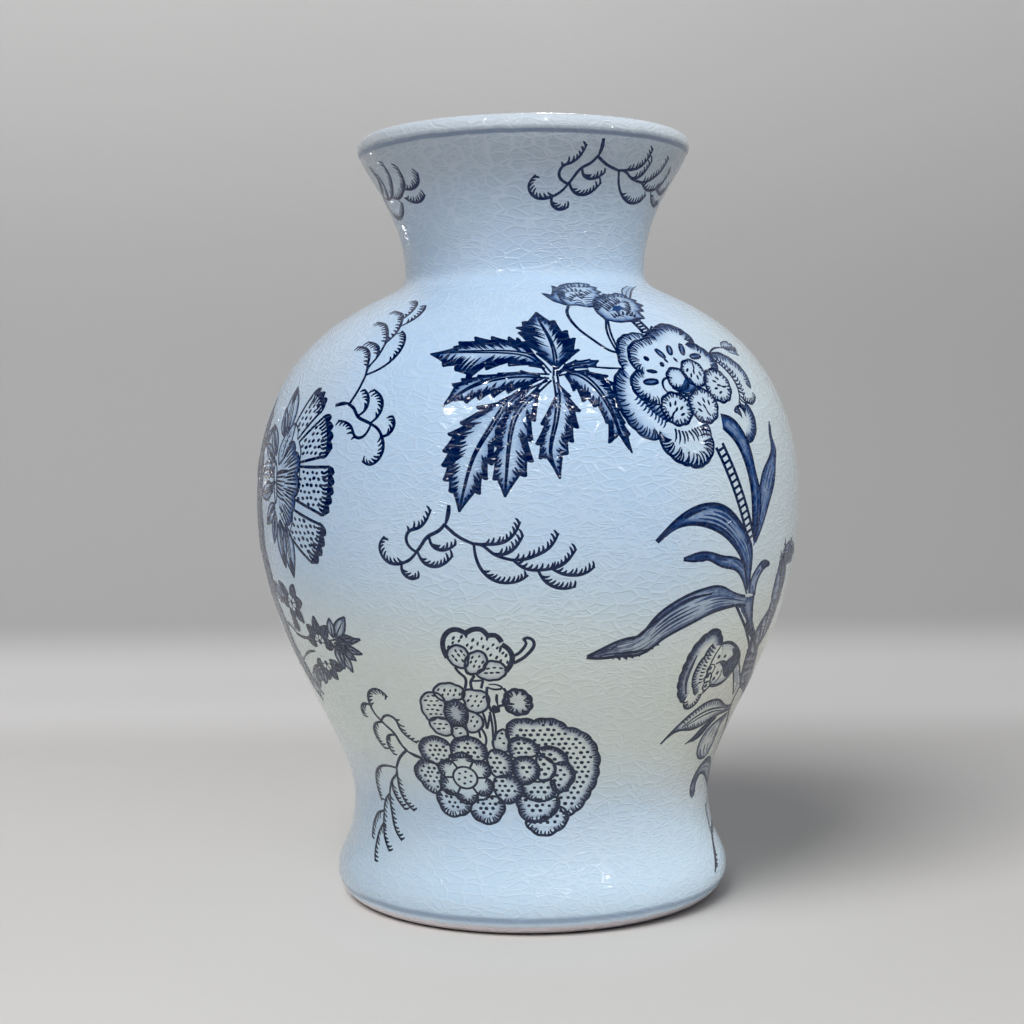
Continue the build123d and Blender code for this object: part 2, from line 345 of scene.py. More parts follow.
class Ink:
    """One printed sprig on a flat chart in millimetres, u to the right and v up.

    Every stroke, dot and wash is a thin closed solid. `tone` runs from 0, the palest wash, to 1, a line.
    """

    def __init__(self, seed):
        self.chance = random.Random(seed)
        self.points = []
        self.tones = []
        self.faces = []
        self.count = 0
        self.marks = 0

    def add(self, points, faces, tones):
        """Adds one closed solid."""
        self.points.append(points)
        self.tones.append(tones)
        self.faces.extend([[i + self.count for i in face] for face in faces])
        self.count += len(points)

    def height(self, base):
        """Height of the next mark's top, a little off that of its neighbours."""
        self.marks += 1
        return base + MARK_STEP * (self.marks % MARK_LEVELS)

    def stroke(self, path, width=0.9, ends=(0.75, 0.45), tone=1.0, step=0.9, curved=True):
        """A pen line along a path; `ends` are its widths at start and end, as shares of `width`."""
        line = trace(path, step, curved)
        count = len(line)
        side = leftward(heading(line))
        t = np.linspace(0, 1, count)
        rise = ends[0] + (1 - ends[0]) * np.clip(t / SWELL, 0, 1)
        fall = ends[1] + (1 - ends[1]) * np.clip((1 - t) / TAIL, 0, 1)
        half = width * PEN / 2 * np.minimum(rise, fall)
        top = self.height(STROKE_LIFT)
        points = np.empty((count, 4, 3))
        section = ((1.0, BURIED), (CROWN_SHARE, top), (-CROWN_SHARE, top), (-1.0, BURIED))
        for k, (across, lift) in enumerate(section):
            points[:, k, :2] = line + side * (half * across)[:, None]
            points[:, k, 2] = lift
        faces = [[3, 2, 1, 0], [4 * count - 4, 4 * count - 3, 4 * count - 2, 4 * count - 1]]
        for i in range(0, 4 * count - 4, 4):
            for k in range(4):
                j = (k + 1) % 4
                faces.append([i + k, i + j, i + j + 4, i + k + 4])
        self.add(points.reshape(-1, 3), faces, np.full(4 * count, tone))

    def comb(self, path, length=2.2, spacing=1.5, lean=55, side=1, width=0.8, span=(0.0, 1.0), tone=1.0,
             curved=True, spread=0.18):
        """Short strokes off one side of a path, 1 for left and -1 for right, leaning towards its end."""
        line = trace(path, 0.5, curved)
        distance = along(line)
        ahead = heading(line)
        first, last = span[0] * distance[-1], span[1] * distance[-1]
        for d in np.linspace(first, last, max(2, int(round((last - first) / spacing)) + 1)):
            foot = read_line(line, distance, d)
            way = read_line(ahead, distance, d)
            angle = side * (lean + self.chance.uniform(-6, 6))
            reach = length * (1 + self.chance.uniform(-spread, spread))
            tip = foot + turned([way], angle)[0] * reach
            middle = (foot + tip) / 2 - turned([way], angle + side * 90)[0] * reach * COMB_ARCH
            self.stroke([foot, middle, tip], width, (1.0, 0.4), tone, step=max(reach / 3, 0.4))

    def dot(self, centre, size=1.5, long=1.0, tilt=0.0):
        """A round or oval spot of full tone."""
        turns = np.linspace(0, 2 * math.pi, DOT_SIDES + 1)[:-1]
        shape = np.c_[np.cos(turns) * size / 2 * long, np.sin(turns) * size / 2]
        middle = np.asarray(centre, float)
        outline = turned(shape, tilt) + middle
        crown = middle + (outline - middle) * DOT_CROWN_SHARE
        count = len(outline)
        top = self.height(STROKE_LIFT)
        points = np.vstack([np.c_[outline, np.full(count, BURIED)], np.c_[crown, np.full(count, top)]])
        faces = [list(range(count))[::-1], [count + i for i in range(count)]]
        for i in range(count):
            j = (i + 1) % count
            faces.append([i, j, count + j, count + i])
        self.add(points, faces, np.ones(2 * count))

    def dots(self, centres, size=1.5, long=1.0, tilt=0.0):
        """Spots of slightly uneven size and slant."""
        for centre in centres:
            uneven = size * self.chance.uniform(0.85, 1.12)
            self.dot(centre, uneven, long, tilt + self.chance.uniform(-15, 15))

    def stipple(self, outline, pitch=3.0, margin=1.8, size=1.3, long=1.2, tilt=0.0):
        """Rows of spots inside a closed outline."""
        for u, v in lattice(np.asarray(outline, float), pitch, margin):
            shift = (self.chance.uniform(-0.3, 0.3), self.chance.uniform(-0.3, 0.3))
            self.dots([(u + shift[0], v + shift[1])], size, long, tilt)

    def slab(self, places, faces, shade, layer):
        """A thin closed solid over flat points and counter-clockwise faces, with a tone at each point."""
        count = len(places)
        top = self.height(WASH_LIFT + LAYER * layer)
        points = np.vstack([np.c_[places, np.full(count, BURIED)], np.c_[places, np.full(count, top)]])
        solid = []
        edges = set()
        for face in faces:
            solid.append([i + count for i in face])
            solid.append(list(face)[::-1])
            edges.update(zip(face, list(face[1:]) + [face[0]]))
        solid.extend([a, b, b + count, a + count] for a, b in sorted(edges) if (b, a) not in edges)
        self.add(points, solid, np.tile(shade, 2))

    def wash(self, outline, tone=0.3, rim=None, grain=2.2, reach=1.6, layer=0):
        """A tint inside a closed outline; `rim`, its tone at the edge, fades to `tone` over `reach`."""
        outline = np.asarray(outline, float)
        inner = lattice(outline, grain, grain * 0.45)
        flat = [Vector(p) for p in np.vstack([outline, inner])]
        made = geometry.delaunay_2d_cdt(flat, [], [list(range(len(outline)))], 1, 1e-4)
        places = np.array([tuple(p) for p in made[0]])
        if not made[2]:
            return
        shade = np.full(len(places), float(tone))
        if rim is not None:
            shade = tone + (rim - tone) * np.exp(-clearance(places, outline) / reach)
        faces = []
        for a, b, c in made[2]:
            first, second = places[b] - places[a], places[c] - places[a]
            turns_left = first[0] * second[1] > first[1] * second[0]
            faces.append((a, b, c) if turns_left else (a, c, b))
        self.slab(places, faces, shade, layer)

    def shade(self, path, depth, tone=0.5, side=1, curved=True):
        """A tint along one side of a path, 1 for left and -1 for right, that fades out at `depth`."""
        line = trace(path, 1.1, curved)
        soft = smooth(line[::max(1, len(line) // 12)], along(line)[-1] / (len(line) - 1))
        soft = soft if len(soft) == len(line) else line
        inward = leftward(heading(soft)) * side
        rows = [line + inward * depth * share for share, _ in SHADE_ROWS]
        fade = np.repeat([tone * part for _, part in SHADE_ROWS], len(line))
        faces = []
        for k in range(len(SHADE_ROWS) - 1):
            for i in range(len(line) - 1):
                low, high = k * len(line) + i, (k + 1) * len(line) + i
                faces.append((low, low + 1, high + 1, high) if side > 0 else (high, high + 1, low + 1, low))
        self.slab(np.vstack(rows), faces, fade, 1)

    def lay(self, name, turn, height, tilt=0.0):
        """Bends the sprig round the vase, its origin `turn` degrees from the front and `height` mm up."""
        points = np.concatenate(self.points)
        flat = turned(points[:, :2], tilt)
        run = run_at(height) + flat[:, 1]
        angle = math.radians(turn) + flat[:, 0] / radius_at(run)
        piece = new_object(name, on_vase(angle, run, points[:, 2]).tolist(), self.faces, PRINT)
        tones = piece.data.attributes.new("tone", "FLOAT", "POINT")
        tones.data.foreach_set("value", np.concatenate(self.tones).astype(np.float32))
        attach(piece, "root")
        return piece


# ------------------------------------------------------------------ materials

# Crackle: width and height of the cells between the cracks, in metres, and how the cracks stand out
CRACK_CELLS = ((0.0064, 0.0029), (0.0038, 0.0018))
CRACK_DRIFT = 0.0075
CRACK_RELIEF = 1.35
RELIEF_DEPTH = 0.0001

# Rings, in metres over the table: a dark line round the foot of the lip roll, and a printed band round the
# foot
LIP_LINE_Z = CAD_BOX[1].z - 6.7 * MM
FOOT_BAND_Z = 6.7 * MM

# Where the colour of glaze or ink changes: from and to, in metres, by height (Z) or towards the right (X).
# Some of these are painted light and shade.
# painted light: the foot, which flares out and faces up, is made paler
PAINTED_LIGHT_FOOT_Z = (0.022, 0.048)
CREAM_FROM_Z = (0.036, 0.072)
CREAM_TO_Z = (0.098, 0.145)
# painted shade: ink low on the vase turns greyer
SHADED_INK_Z = (0.100, 0.142)
# painted shade: the neck, which faces down, is darker
SHADED_NECK_Z = (0.238, 0.262)
# painted shade under the overhang of the lip
UNDER_LIP_SHADE_Z = (0.260, 0.287)
WARM_SIDE_X = (0.040, 0.092)
CREAM_FLANK_X = (0.030, 0.078)
CREAM_FLANK_FROM_Z = (0.028, 0.056)
CREAM_FLANK_TO_Z = (0.085, 0.135)

# Ink from the palest wash to a full line: share of the depth, and its colour
INK_RAMP = ((0.0, (112, 148, 196)), (0.3, (68, 110, 166)), (0.6, (16, 60, 118)), (0.86, (0, 19, 62)))


def srgb(red, green, blue):
    """Linear colour of an 8-bit sRGB one."""
    values = [v / 255 for v in (red, green, blue)]
    return [v / 12.92 if v <= 0.04045 else ((v + 0.055) / 1.055) ** 2.4 for v in values] + [1.0]


class Nodes:
    """Short forms for building a node material."""

    def __init__(self, name):
        self.material = bpy.data.materials.new(name)
        self.material.use_nodes = True
        self.tree = self.material.node_tree
        self.surface = self.tree.nodes["Principled BSDF"]

    def add(self, kind, inputs=None, **settings):
        """A node with its settings, and its inputs fed by name or number."""
        node = self.tree.nodes.new(kind)
        for key, value in settings.items():
            setattr(node, key, value)
        for key, value in (inputs or {}).items():
            self.feed(node.inputs[key], value)
        return node

    def feed(self, socket, value):
        """Gives an input a link from a socket or a node, or else a plain value."""
        if isinstance(value, bpy.types.NodeSocket):
            self.tree.links.new(value, socket)
        elif isinstance(value, bpy.types.Node):
            self.tree.links.new(value.outputs[0], socket)
        else:
            socket.default_value = value

    def math(self, operation, *values):
        """Result of a sum on values or links."""
        node = self.add("ShaderNodeMath", operation=operation)
        for socket, value in zip(node.inputs, values):
            self.feed(socket, value)
        return node.outputs[0]

    def band(self, value, low, high, out_low=0.0, out_high=1.0):
        """Smooth step of a value from low to high."""
        node = self.add("ShaderNodeMapRange", {"Value": value, "From Min": low, "From Max": high,
                                               "To Min": out_low, "To Max": out_high},
                        interpolation_type="SMOOTHSTEP")
        return node.outputs[0]

    def mix(self, share, first, second):
        """Colour between two others, by a share."""
        node = self.add("ShaderNodeMix", data_type="RGBA")
        self.feed(node.inputs["Factor"], share)
        self.feed(node.inputs["A"], first)
        self.feed(node.inputs["B"], second)
        return node.outputs["Result"]

    def noise(self, place, scale, detail=2.0, roughness=0.5):
        """Cloudy value from 0 to 1; `scale` is about its count of clouds to a metre."""
        node = self.add("ShaderNodeTexNoise", {"Vector": place, "Scale": scale, "Detail": detail,
                                               "Roughness": roughness})
        return node.outputs["Fac"]


def crackle(nodes, place):
    """Distances from the cracks of the glaze: long flat cells, and smaller ones inside some of them."""
    drift = nodes.add("ShaderNodeTexNoise", {"Vector": place, "Scale": 75.0, "Detail": 1.0})
    pull = nodes.add("ShaderNodeVectorMath", {0: drift.outputs["Color"], 1: (0.5, 0.5, 0.5)},
                     operation="SUBTRACT")
    bend = nodes.add("ShaderNodeVectorMath", {0: pull, "Scale": CRACK_DRIFT}, operation="SCALE")
    bent = nodes.add("ShaderNodeVectorMath", {0: place, 1: bend}, operation="ADD")
    distances = []
    for width, height in CRACK_CELLS:
        cell = nodes.add("ShaderNodeVectorMath", {0: bent, 1: (1 / width, 1 / width, 1 / height)},
                         operation="MULTIPLY")
        edge = nodes.add("ShaderNodeTexVoronoi", {"Vector": cell, "Scale": 1.0}, feature="DISTANCE_TO_EDGE")
        distances.append(edge.outputs["Distance"])
    return distances


def glaze_relief(nodes, place):
    """Bump of the glaze, and how near a point is to a crack."""
    wide, fine = crackle(nodes, place)
    wide_crack = nodes.band(wide, 0.0, 0.15, 1.0, 0.0)
    fine_crack = nodes.band(fine, 0.0, 0.16, 1.0, 0.0)
    patch = nodes.band(nodes.noise(place, 26.0), 0.38, 0.62, 0.15, 0.8)
    crack = nodes.math("MAXIMUM", wide_crack, nodes.math("MULTIPLY", fine_crack, patch))
    peel = nodes.noise(place, 170.0, 1.0)
    height = nodes.math("ADD", nodes.math("MULTIPLY", crack, CRACK_RELIEF),
                        nodes.math("MULTIPLY", peel, 0.5))
    bump = nodes.add("ShaderNodeBump", {"Height": height, "Strength": 1.0, "Distance": RELIEF_DEPTH})
    return bump.outputs["Normal"], crack


def coat_settings(nodes, relief):
    """Gloss of the glaze over its body."""
    nodes.feed(nodes.surface.inputs["Normal"], relief)
    nodes.feed(nodes.surface.inputs["Coat Normal"], relief)
    nodes.feed(nodes.surface.inputs["Roughness"], 0.14)
    nodes.feed(nodes.surface.inputs["Specular IOR Level"], 0.3)
    nodes.feed(nodes.surface.inputs["Coat Weight"], 0.4)
    nodes.feed(nodes.surface.inputs["Coat Roughness"], 0.03)


def ground_colour(nodes, place, crack):
    """Colour of the bare glaze: blue, creamier low down and to the right, with rings at lip and foot, and
    painted light and shade: a paler foot, a darker neck and a darker band under the lip.
    """
    axes = nodes.add("ShaderNodeSeparateXYZ", {0: place})
    height = axes.outputs["Z"]
    cloud = nodes.band(nodes.noise(place, 14.0, 3.0), 0.35, 0.68)
    body = nodes.mix(cloud, srgb(190, 216, 241), srgb(198, 220, 240))
    warm = nodes.band(nodes.noise(place, 9.0, 2.0), 0.55, 0.72, 0.0, 0.5)
    body = nodes.mix(warm, body, srgb(206, 219, 230))
    right = axes.outputs["X"]
    body = nodes.mix(nodes.band(right, *WARM_SIDE_X, 0.0, 0.62), body, srgb(211, 216, 207))
    cream = nodes.math("MULTIPLY", nodes.band(height, *CREAM_FROM_Z),
                       nodes.band(height, *CREAM_TO_Z, 1.0, 0.0))
    body = nodes.mix(nodes.math("MULTIPLY", cream, 0.85), body, srgb(221, 228, 217))
    # Painted light: the foot, which flares out and faces up, is made paler.
    body = nodes.mix(nodes.band(height, *PAINTED_LIGHT_FOOT_Z, 0.85, 0.0), body, srgb(212, 234, 250))
    below_belly = nodes.band(height, *CREAM_FLANK_TO_Z, 0.55, 0.0)
    flank = nodes.math("MULTIPLY", nodes.band(right, *CREAM_FLANK_X), below_belly)
    flank = nodes.math("MULTIPLY", flank, nodes.band(height, *CREAM_FLANK_FROM_Z))
    body = nodes.mix(flank, body, srgb(220, 214, 198))
    # Painted shade: the neck, which flares out and faces down, is darker.
    body = nodes.mix(nodes.band(height, *SHADED_NECK_Z, 0.0, 0.8), body, srgb(178, 194, 211))
    # Painted shade under the overhang of the lip: greyer and darker.
    body = nodes.mix(nodes.band(height, *UNDER_LIP_SHADE_Z, 0.0, 0.72), body, srgb(158, 165, 171))
    body = nodes.mix(nodes.math("MULTIPLY", crack, 0.14), body, srgb(236, 241, 245))
    wobble = nodes.math("MULTIPLY", nodes.math("SUBTRACT", nodes.noise(place, 60.0, 3.0), 0.5), 0.0012)
    level = nodes.math("ADD", height, wobble)
    lip_line = nodes.math("ABSOLUTE", nodes.math("SUBTRACT", level, LIP_LINE_Z))
    body = nodes.mix(nodes.band(lip_line, 0.0004, 0.0011, 0.85, 0.0), body, srgb(118, 132, 154))
    lip = nodes.band(level, LIP_LINE_Z + 0.001, LIP_LINE_Z + 0.0025, 0.0, 0.7)
    body = nodes.mix(lip, body, srgb(224, 232, 238))
    foot_band = nodes.math("ABSOLUTE", nodes.math("SUBTRACT", level, FOOT_BAND_Z))
    body = nodes.mix(nodes.band(foot_band, 0.0003, 0.0019, 0.7, 0.0), body, srgb(132, 154, 184))
    # The pinkish edge below the foot band: its own colour, made paler with painted light to lift the shade
    # where it faces the floor.
    pink_foot_edge_and_light = nodes.band(level, FOOT_BAND_Z - 0.0035, FOOT_BAND_Z - 0.0018, 0.85, 0.0)
    return nodes.mix(pink_foot_edge_and_light, body, srgb(226, 212, 214))


def glaze_material():
    """Blue-white glaze with fine cracks."""
    nodes = Nodes("glaze")
    place = nodes.add("ShaderNodeTexCoord").outputs["Object"]
    relief, crack = glaze_relief(nodes, place)
    nodes.feed(nodes.surface.inputs["Base Color"], ground_colour(nodes, place, crack))
    coat_settings(nodes, relief)
    return nodes.material


def print_material():
    """Cobalt ink under the same glaze, greyer and darker low down as painted shade: `tone` runs from bare
    glaze to a full line.
    """
    nodes = Nodes("print")
    place = nodes.add("ShaderNodeTexCoord").outputs["Object"]
    height = nodes.add("ShaderNodeSeparateXYZ", {0: place}).outputs["Z"]
    relief, crack = glaze_relief(nodes, place)
    tone = nodes.add("ShaderNodeAttribute", attribute_name="tone").outputs["Fac"]
    uneven = nodes.math("MULTIPLY", nodes.math("SUBTRACT", nodes.noise(place, 420.0, 3.0, 0.7), 0.5), 0.7)
    pool = nodes.math("MULTIPLY", nodes.math("SUBTRACT", nodes.noise(place, 60.0, 2.0), 0.5), 0.5)
    depth = nodes.math("MULTIPLY", tone, nodes.math("ADD", 1.0, nodes.math("ADD", uneven, pool)))
    ramp = nodes.add("ShaderNodeValToRGB", {0: depth})
    elements = ramp.color_ramp.elements
    while len(elements) < len(INK_RAMP):
        elements.new(0.5)
    for element, (position, colour) in zip(elements, INK_RAMP):
        element.position = position
        element.color = srgb(*colour)
    # Painted shade: the ink low on the vase is greyer and darker.
    low = nodes.band(height, *SHADED_INK_Z, 0.72, 0.0)
    shaded_grey_ink = nodes.add("ShaderNodeHueSaturation", {"Color": ramp, "Saturation": 0.3, "Value": 0.78})
    ink = nodes.mix(low, ramp.outputs["Color"], shaded_grey_ink.outputs["Color"])
    ink = nodes.mix(nodes.math("MULTIPLY", crack, 0.12), ink, srgb(74, 104, 146))
    cover = nodes.band(depth, -0.05, 0.62)
    cover = nodes.math("MULTIPLY", cover, nodes.band(tone, 0.0, 0.06))
    nodes.feed(nodes.surface.inputs["Base Color"],
               nodes.mix(cover, ground_colour(nodes, place, crack), ink))
    coat_settings(nodes, relief)
    return nodes.material


def clay_material(name, pale, dark, grain):
    """Unglazed fired clay: a dry surface with fine grit, speckles and dark brown over its lowest millimetre.
    """
    nodes = Nodes(name)
    place = nodes.add("ShaderNodeTexCoord").outputs["Object"]
    height = nodes.add("ShaderNodeSeparateXYZ", {0: place}).outputs["Z"]
    grit = nodes.noise(place, grain, 4.0, 0.7)
    body = nodes.mix(nodes.band(grit, 0.35, 0.7), pale, dark)
    speck = nodes.band(nodes.noise(place, grain * 0.6, 1.0), 0.68, 0.74, 0.0, 0.5)
    body = nodes.mix(speck, body, srgb(120, 100, 84))
    # Darker brown over the lowest millimetre of the clay.
    dark_bottom_edge = nodes.band(height, 0.0002, 0.0010, 0.85, 0.0)
    body = nodes.mix(dark_bottom_edge, body, srgb(96, 76, 66))
    nodes.feed(nodes.surface.inputs["Base Color"], body)
    nodes.feed(nodes.surface.inputs["Roughness"], nodes.band(grit, 0.2, 0.8, 0.72, 0.92))
    bump = nodes.add("ShaderNodeBump", {"Height": grit, "Strength": 0.6, "Distance": 0.0001})
    nodes.feed(nodes.surface.inputs["Normal"], bump.outputs["Normal"])
    return nodes.material


def sweep_material():
    """Matt pale backdrop paper, with painted light: paler at the back of the floor and towards the top of the
    wall.
    """
    nodes = Nodes("sweep")
    place = nodes.add("ShaderNodeTexCoord").outputs["Object"]
    cloud = nodes.noise(place, 1.6, 3.0)
    body = nodes.mix(nodes.band(cloud, 0.3, 0.7), srgb(206, 205, 203), srgb(211, 210, 207))
    axes = nodes.add("ShaderNodeSeparateXYZ", {0: place})
    height = axes.outputs["Z"]
    # Painted light: paler towards the back of the floor.
    body = nodes.mix(nodes.band(axes.outputs["Y"], 0.29, 0.46), body, srgb(226, 225, 224))
    # Darker where the sweep rises into the wall; above that, painted light makes the wall paler towards its
    # top.
    body = nodes.mix(nodes.band(height, 0.0, 0.03, 0.0, 0.82), body, srgb(175, 175, 174))
    body = nodes.mix(nodes.band(height, 0.25, 0.75), body, srgb(216, 216, 215))
    nodes.feed(nodes.surface.inputs["Base Color"], body)
    nodes.feed(nodes.surface.inputs["Roughness"], 0.85)
    fibre = nodes.add("ShaderNodeBump", {"Height": nodes.noise(place, 900.0, 2.0), "Strength": 0.15,
                                         "Distance": 0.0002})
    nodes.feed(nodes.surface.inputs["Normal"], fibre.outputs["Normal"])
    return nodes.material


GLAZE = glaze_material()
PRINT = print_material()
BISCUIT = clay_material("biscuit", srgb(222, 212, 200), srgb(206, 192, 178), 900.0)
SLIP = clay_material("slip", srgb(228, 220, 208), srgb(212, 200, 186), 1400.0)


# ------------------------------------------------------------------ sprigs
#
# Charts are in millimetres. Shapes are given by the few points that a smooth curve or a row of bumps meets.

def fern():
    """A spray of seven and five curved fronds either side of a forked stem, with teeth along each frond."""
    ink = Ink(11)
    ink.stroke([(1, 7), (0.5, 3), (-0.5, 0)], 1.6)
    ink.stroke([(-0.5, 0.5), (-3, -2), (-7, -4), (-9.5, -7), (-11.5, -9.5)], 1.3, (0.9, 0.9))
    ink.stroke([(-0.5, 0), (3.5, -3.5), (9.5, -6.5)], 1.2, (1, 0.9))
    ink.stroke([(9, -6.4), (12, -6.8), (16, -9.8), (19, -11.2), (23, -12.2)], 1.1, (1, 1))
    ink.stroke([(23, -12.2), (26.5, -15), (31, -15.8), (36, -15.3)], 1.1, (1, 1))
    ink.comb([(24, -13.3), (26.5, -15), (31, -15.8), (36, -15.3)], 2.5, 2.0, 60, width=0.95)
    # path of each frond, the share of it without teeth, and the side that its teeth are on
    fronds = (
        ([(-11.5, -9.5), (-14.5, -7), (-15.2, -4.5), (-14, -2.2), (-10.5, -1), (-7.5, 1.5), (-5.5, 5.5)],
         0.42, 1),
        ([(-11.5, -9.5), (-14, -12), (-17.5, -13.5), (-22, -13.5), (-25.5, -10.5), (-26, -7), (-23.8, -4)],
         0.28, -1),
        ([(-17.5, -13.5), (-17.5, -16), (-15.5, -18.5), (-13, -19), (-11, -18.3)], 0.2, 1),
        ([(-6.5, -4), (-5.5, -7), (-2.5, -8.6), (0.5, -8.2), (3.3, -6.5)], 0.2, 1),
        ([(-11, -9.5), (-9, -13), (-5.5, -14.5), (-1.5, -13.5), (2, -10.5)], 0.15, 1),
        ([(9.5, -6.5), (14, -6.6), (20, -5.8), (24, -2.5), (25.8, 1.2)], 0.2, 1),
        ([(16, -9.8), (20, -10), (24, -7.5), (26.7, -3.5)], 0.15, 1),
        ([(22, -12), (26, -12), (31, -10.5), (36, -7.5), (38.8, -3)], 0.08, 1),
        ([(34, -15.5), (37, -15.1), (41, -13), (44.8, -8.5)], 0.12, 1),
        ([(36, -15.3), (39, -17), (44, -17.8), (48, -17), (51, -15)], 0.12, 1),
        ([(31.2, -15.8), (33.5, -19.8), (37, -22), (41, -22.5), (44, -21.8)], 0.15, 1),
        ([(9.5, -6.5), (10, -11), (12.5, -16.5), (16.5, -19.5), (21, -20.2), (25, -19.3), (27.8, -17.5)],
         0.36, 1),
    )
    for path, bare, side in fronds:
        ink.stroke(path, 1.2, (0.8, 0.6))
        ink.comb(path, 2.6, 1.9, 58, side, 0.95, (bare, 0.95))
    return ink


def lobe(ink, spine, *edges, shading=0.6, rib=0.8, hatch=1.7, reach=0.5, layer=0):
    """One toothed lobe of a leaf: a pair of ribs along its spine, and each edge by the tips of its teeth.

    `reach` is how far the hatching runs from the edge towards the ribs, and `hatch` its spacing.
    """
    spine = smooth(spine, 0.8)
    distance = along(spine)
    ahead = heading(spine)
    across = leftward(ahead)
    halves = []
    for teeth in edges:
        teeth = [np.asarray(tooth, float) for tooth in teeth]
        nearest = [int(np.linalg.norm(spine - tooth, axis=1).argmin()) for tooth in teeth]
        offset = teeth[0] - spine[nearest[0]]
        side = 1 if across[nearest[0]] @ offset > 0 else -1
        start = spine[max(1, nearest[0] // 3)]
        outline = [start]
        for tooth, k in zip(teeth + [spine[-1]], nearest + [None]):
            rise = smooth([start, (start + tooth) / 2 - across[k or -1] * side * 0.25, tooth], 1.0)
            outline.extend(rise[1:])
            ink.stroke(rise, 0.95, (0.9, 0.75), curved=False)
            if k is None:
                break
            inner = spine[k]
            start = tooth + (inner - tooth) * min(0.34,
                                                  2.4 / np.linalg.norm(inner - tooth)) - ahead[k] * 0.5
            outline.append(start)
            ink.stroke([tooth, start], 1.1, (0.5, 1), curved=False)
        halves.append((side, np.array(outline)))
    whole = np.vstack([halves[0][1], halves[-1][1][::-1][1:]])
    ink.wash(whole, 0.08, shading, 1.6, 2.4, layer)
    for side, outline in halves:
        steps = along(outline)
        for d in np.arange(1.2, steps[-1] - 1.0, hatch):
            start = read_line(outline, steps, d)
            k = int(np.linalg.norm(spine - start, axis=1).argmin())
            depth = np.linalg.norm(spine[k] - start)
            if depth < 1.6:
                continue
            aim = spine[max(0, k - int(depth * 1.15))] - start
            share = reach * ink.chance.uniform(0.6, 1.25)
            ink.stroke([start, start + aim * share * 0.5 + ahead[k] * 0.3, start + aim * share], 1.2,
                       (0.95, 0.25))
    for side in (rib, -rib):
        line = spine + across * side * (1 - 0.8 * distance / distance[-1])[:, None]
        ink.stroke(line[:-2:3], 0.95, (0.8, 0.6))


def lobed_leaf():
    """A large leaf of eight toothed lobes round one point, the upper ones darker."""
    ink = Ink(23)
    lobe(ink, [(0, 0), (0.5, 8), (-1, 18), (-3.5, 27), (-4, 32)],
         [(6, 8), (9.5, 11.5), (8.5, 17), (6, 21), (2, 26.7)],
         [(-6, 10), (-11, 15), (-11.5, 20), (-12, 22.8), (-9.5, 26)], shading=0.85, rib=0.6, hatch=1.3,
         reach=0.75, layer=2)
    lobe(ink, [(-2, 1), (-8, 8.5), (-15, 10.5), (-25, 11), (-37, 11), (-44, 10.5)],
         [(-9, 14), (-12, 17.5), (-15, 18), (-21, 18.3), (-27, 18.3), (-33, 16), (-35, 13.7)],
         [(-9, 4.5), (-16, 4.5), (-24, 3), (-31, -1), (-35, 3), (-39.5, 4.8)], shading=0.75, hatch=1.35,
         reach=0.7, layer=1)
    lobe(ink, [(-2, 0), (-12, 0.5), (-22, -1), (-30, -4), (-40, -11)],
         [(-12, 2.5), (-20, 1.5), (-27, 0.8), (-33, -0.5), (-36.5, -2.5)],
         [(-12, -5.5), (-17, -6.5), (-22, -8), (-27, -8.8), (-31.5, -10), (-36, -9)], shading=0.6,
         hatch=1.5, reach=0.6)
    lobe(ink, [(-3, -1), (-15, -8), (-24, -20), (-29, -28), (-32, -36), (-35, -48)],
         [(-20, -9.5), (-28, -11.5), (-34, -17), (-38.5, -21), (-40.5, -27), (-41, -32), (-40.5, -37),
          (-38.5, -41)], [(-15, -13), (-19, -18), (-21, -26), (-23, -32), (-25, -37), (-27.5, -42)],
         shading=0.6)
    lobe(ink, [(-2, -1), (-8, -7), (-14, -14), (-17, -24), (-18, -32), (-19, -43)],
         [(-18, -13), (-21, -18), (-22, -25), (-24, -31), (-23, -37)],
         [(-8, -17), (-9, -24), (-9, -31), (-11.5, -36)], shading=0.6, layer=1)
    lobe(ink, [(0, 0), (0.3, -10), (-1.5, -20), (-3, -28), (0, -37)],
         [(-6, -18), (-8, -25), (-7, -30), (-5, -30)],
         [(5, -8), (8, -13.5), (7, -19.5), (5, -24.5), (3, -28.5)], shading=0.55)
    lobe(ink, [(1, 1), (6, 1.5), (12, -2), (17, -9), (20, -16), (22, -22), (26, -28.5)],
         [(6, -6), (9, -10), (13, -12), (17, -18), (17.5, -25), (21, -22)],
         [(12, 2.5), (19, 0), (21, -3), (21, -8), (22.5, -13), (24, -18), (25.5, -22)], shading=0.6,
         reach=0.6)
    lobe(ink, [(1, 1), (5, 4), (10, 5), (16, 6.5)], [(4, 5.2), (8, 6.8), (13, 7)],
         [(7, 2.8), (12, 3.4), (15, 3.5)], shading=0.5, rib=0.3, hatch=1.3)
    ink.stroke([(15, 3.6), (20, 3.2), (26, 3.2)], 0.9)
    return ink


def petal(ink, cusps, depth=2.6, side=-1, bulge=0.12, spacing=1.5, shading=None, fade=4.5, width=1.1,
          comb=0.8):
    """A scalloped petal edge with a comb of lines inside it, over a tint that fades away from the edge."""
    edge = scallops(cusps, -side * bulge)
    if shading is not None:
        ink.shade(edge, fade, shading, side, curved=False)
    ink.stroke(edge, width, (0.7, 0.6), step=0.7, curved=False)
    if depth:
        ink.comb(edge, depth, spacing, 84, side, comb, (0.02, 0.98), curved=False)


def rosette_petal(ink, centre, radius, lobes=9, squash=1.0, tilt=0.0, depth=2.0):
    """A small round petal with a scalloped edge and a comb of lines inside it."""
    edge = ring(centre, radius, lobes, 0.2, squash, tilt)
    ink.wash(edge, 0.02, 0.35, reach=1.2)
    ink.stroke(edge, 1.05, (1, 1), step=0.7, curved=False)
    ink.comb(edge, depth, 1.5, 88, -1, 0.8, (0.0, 0.97), curved=False)


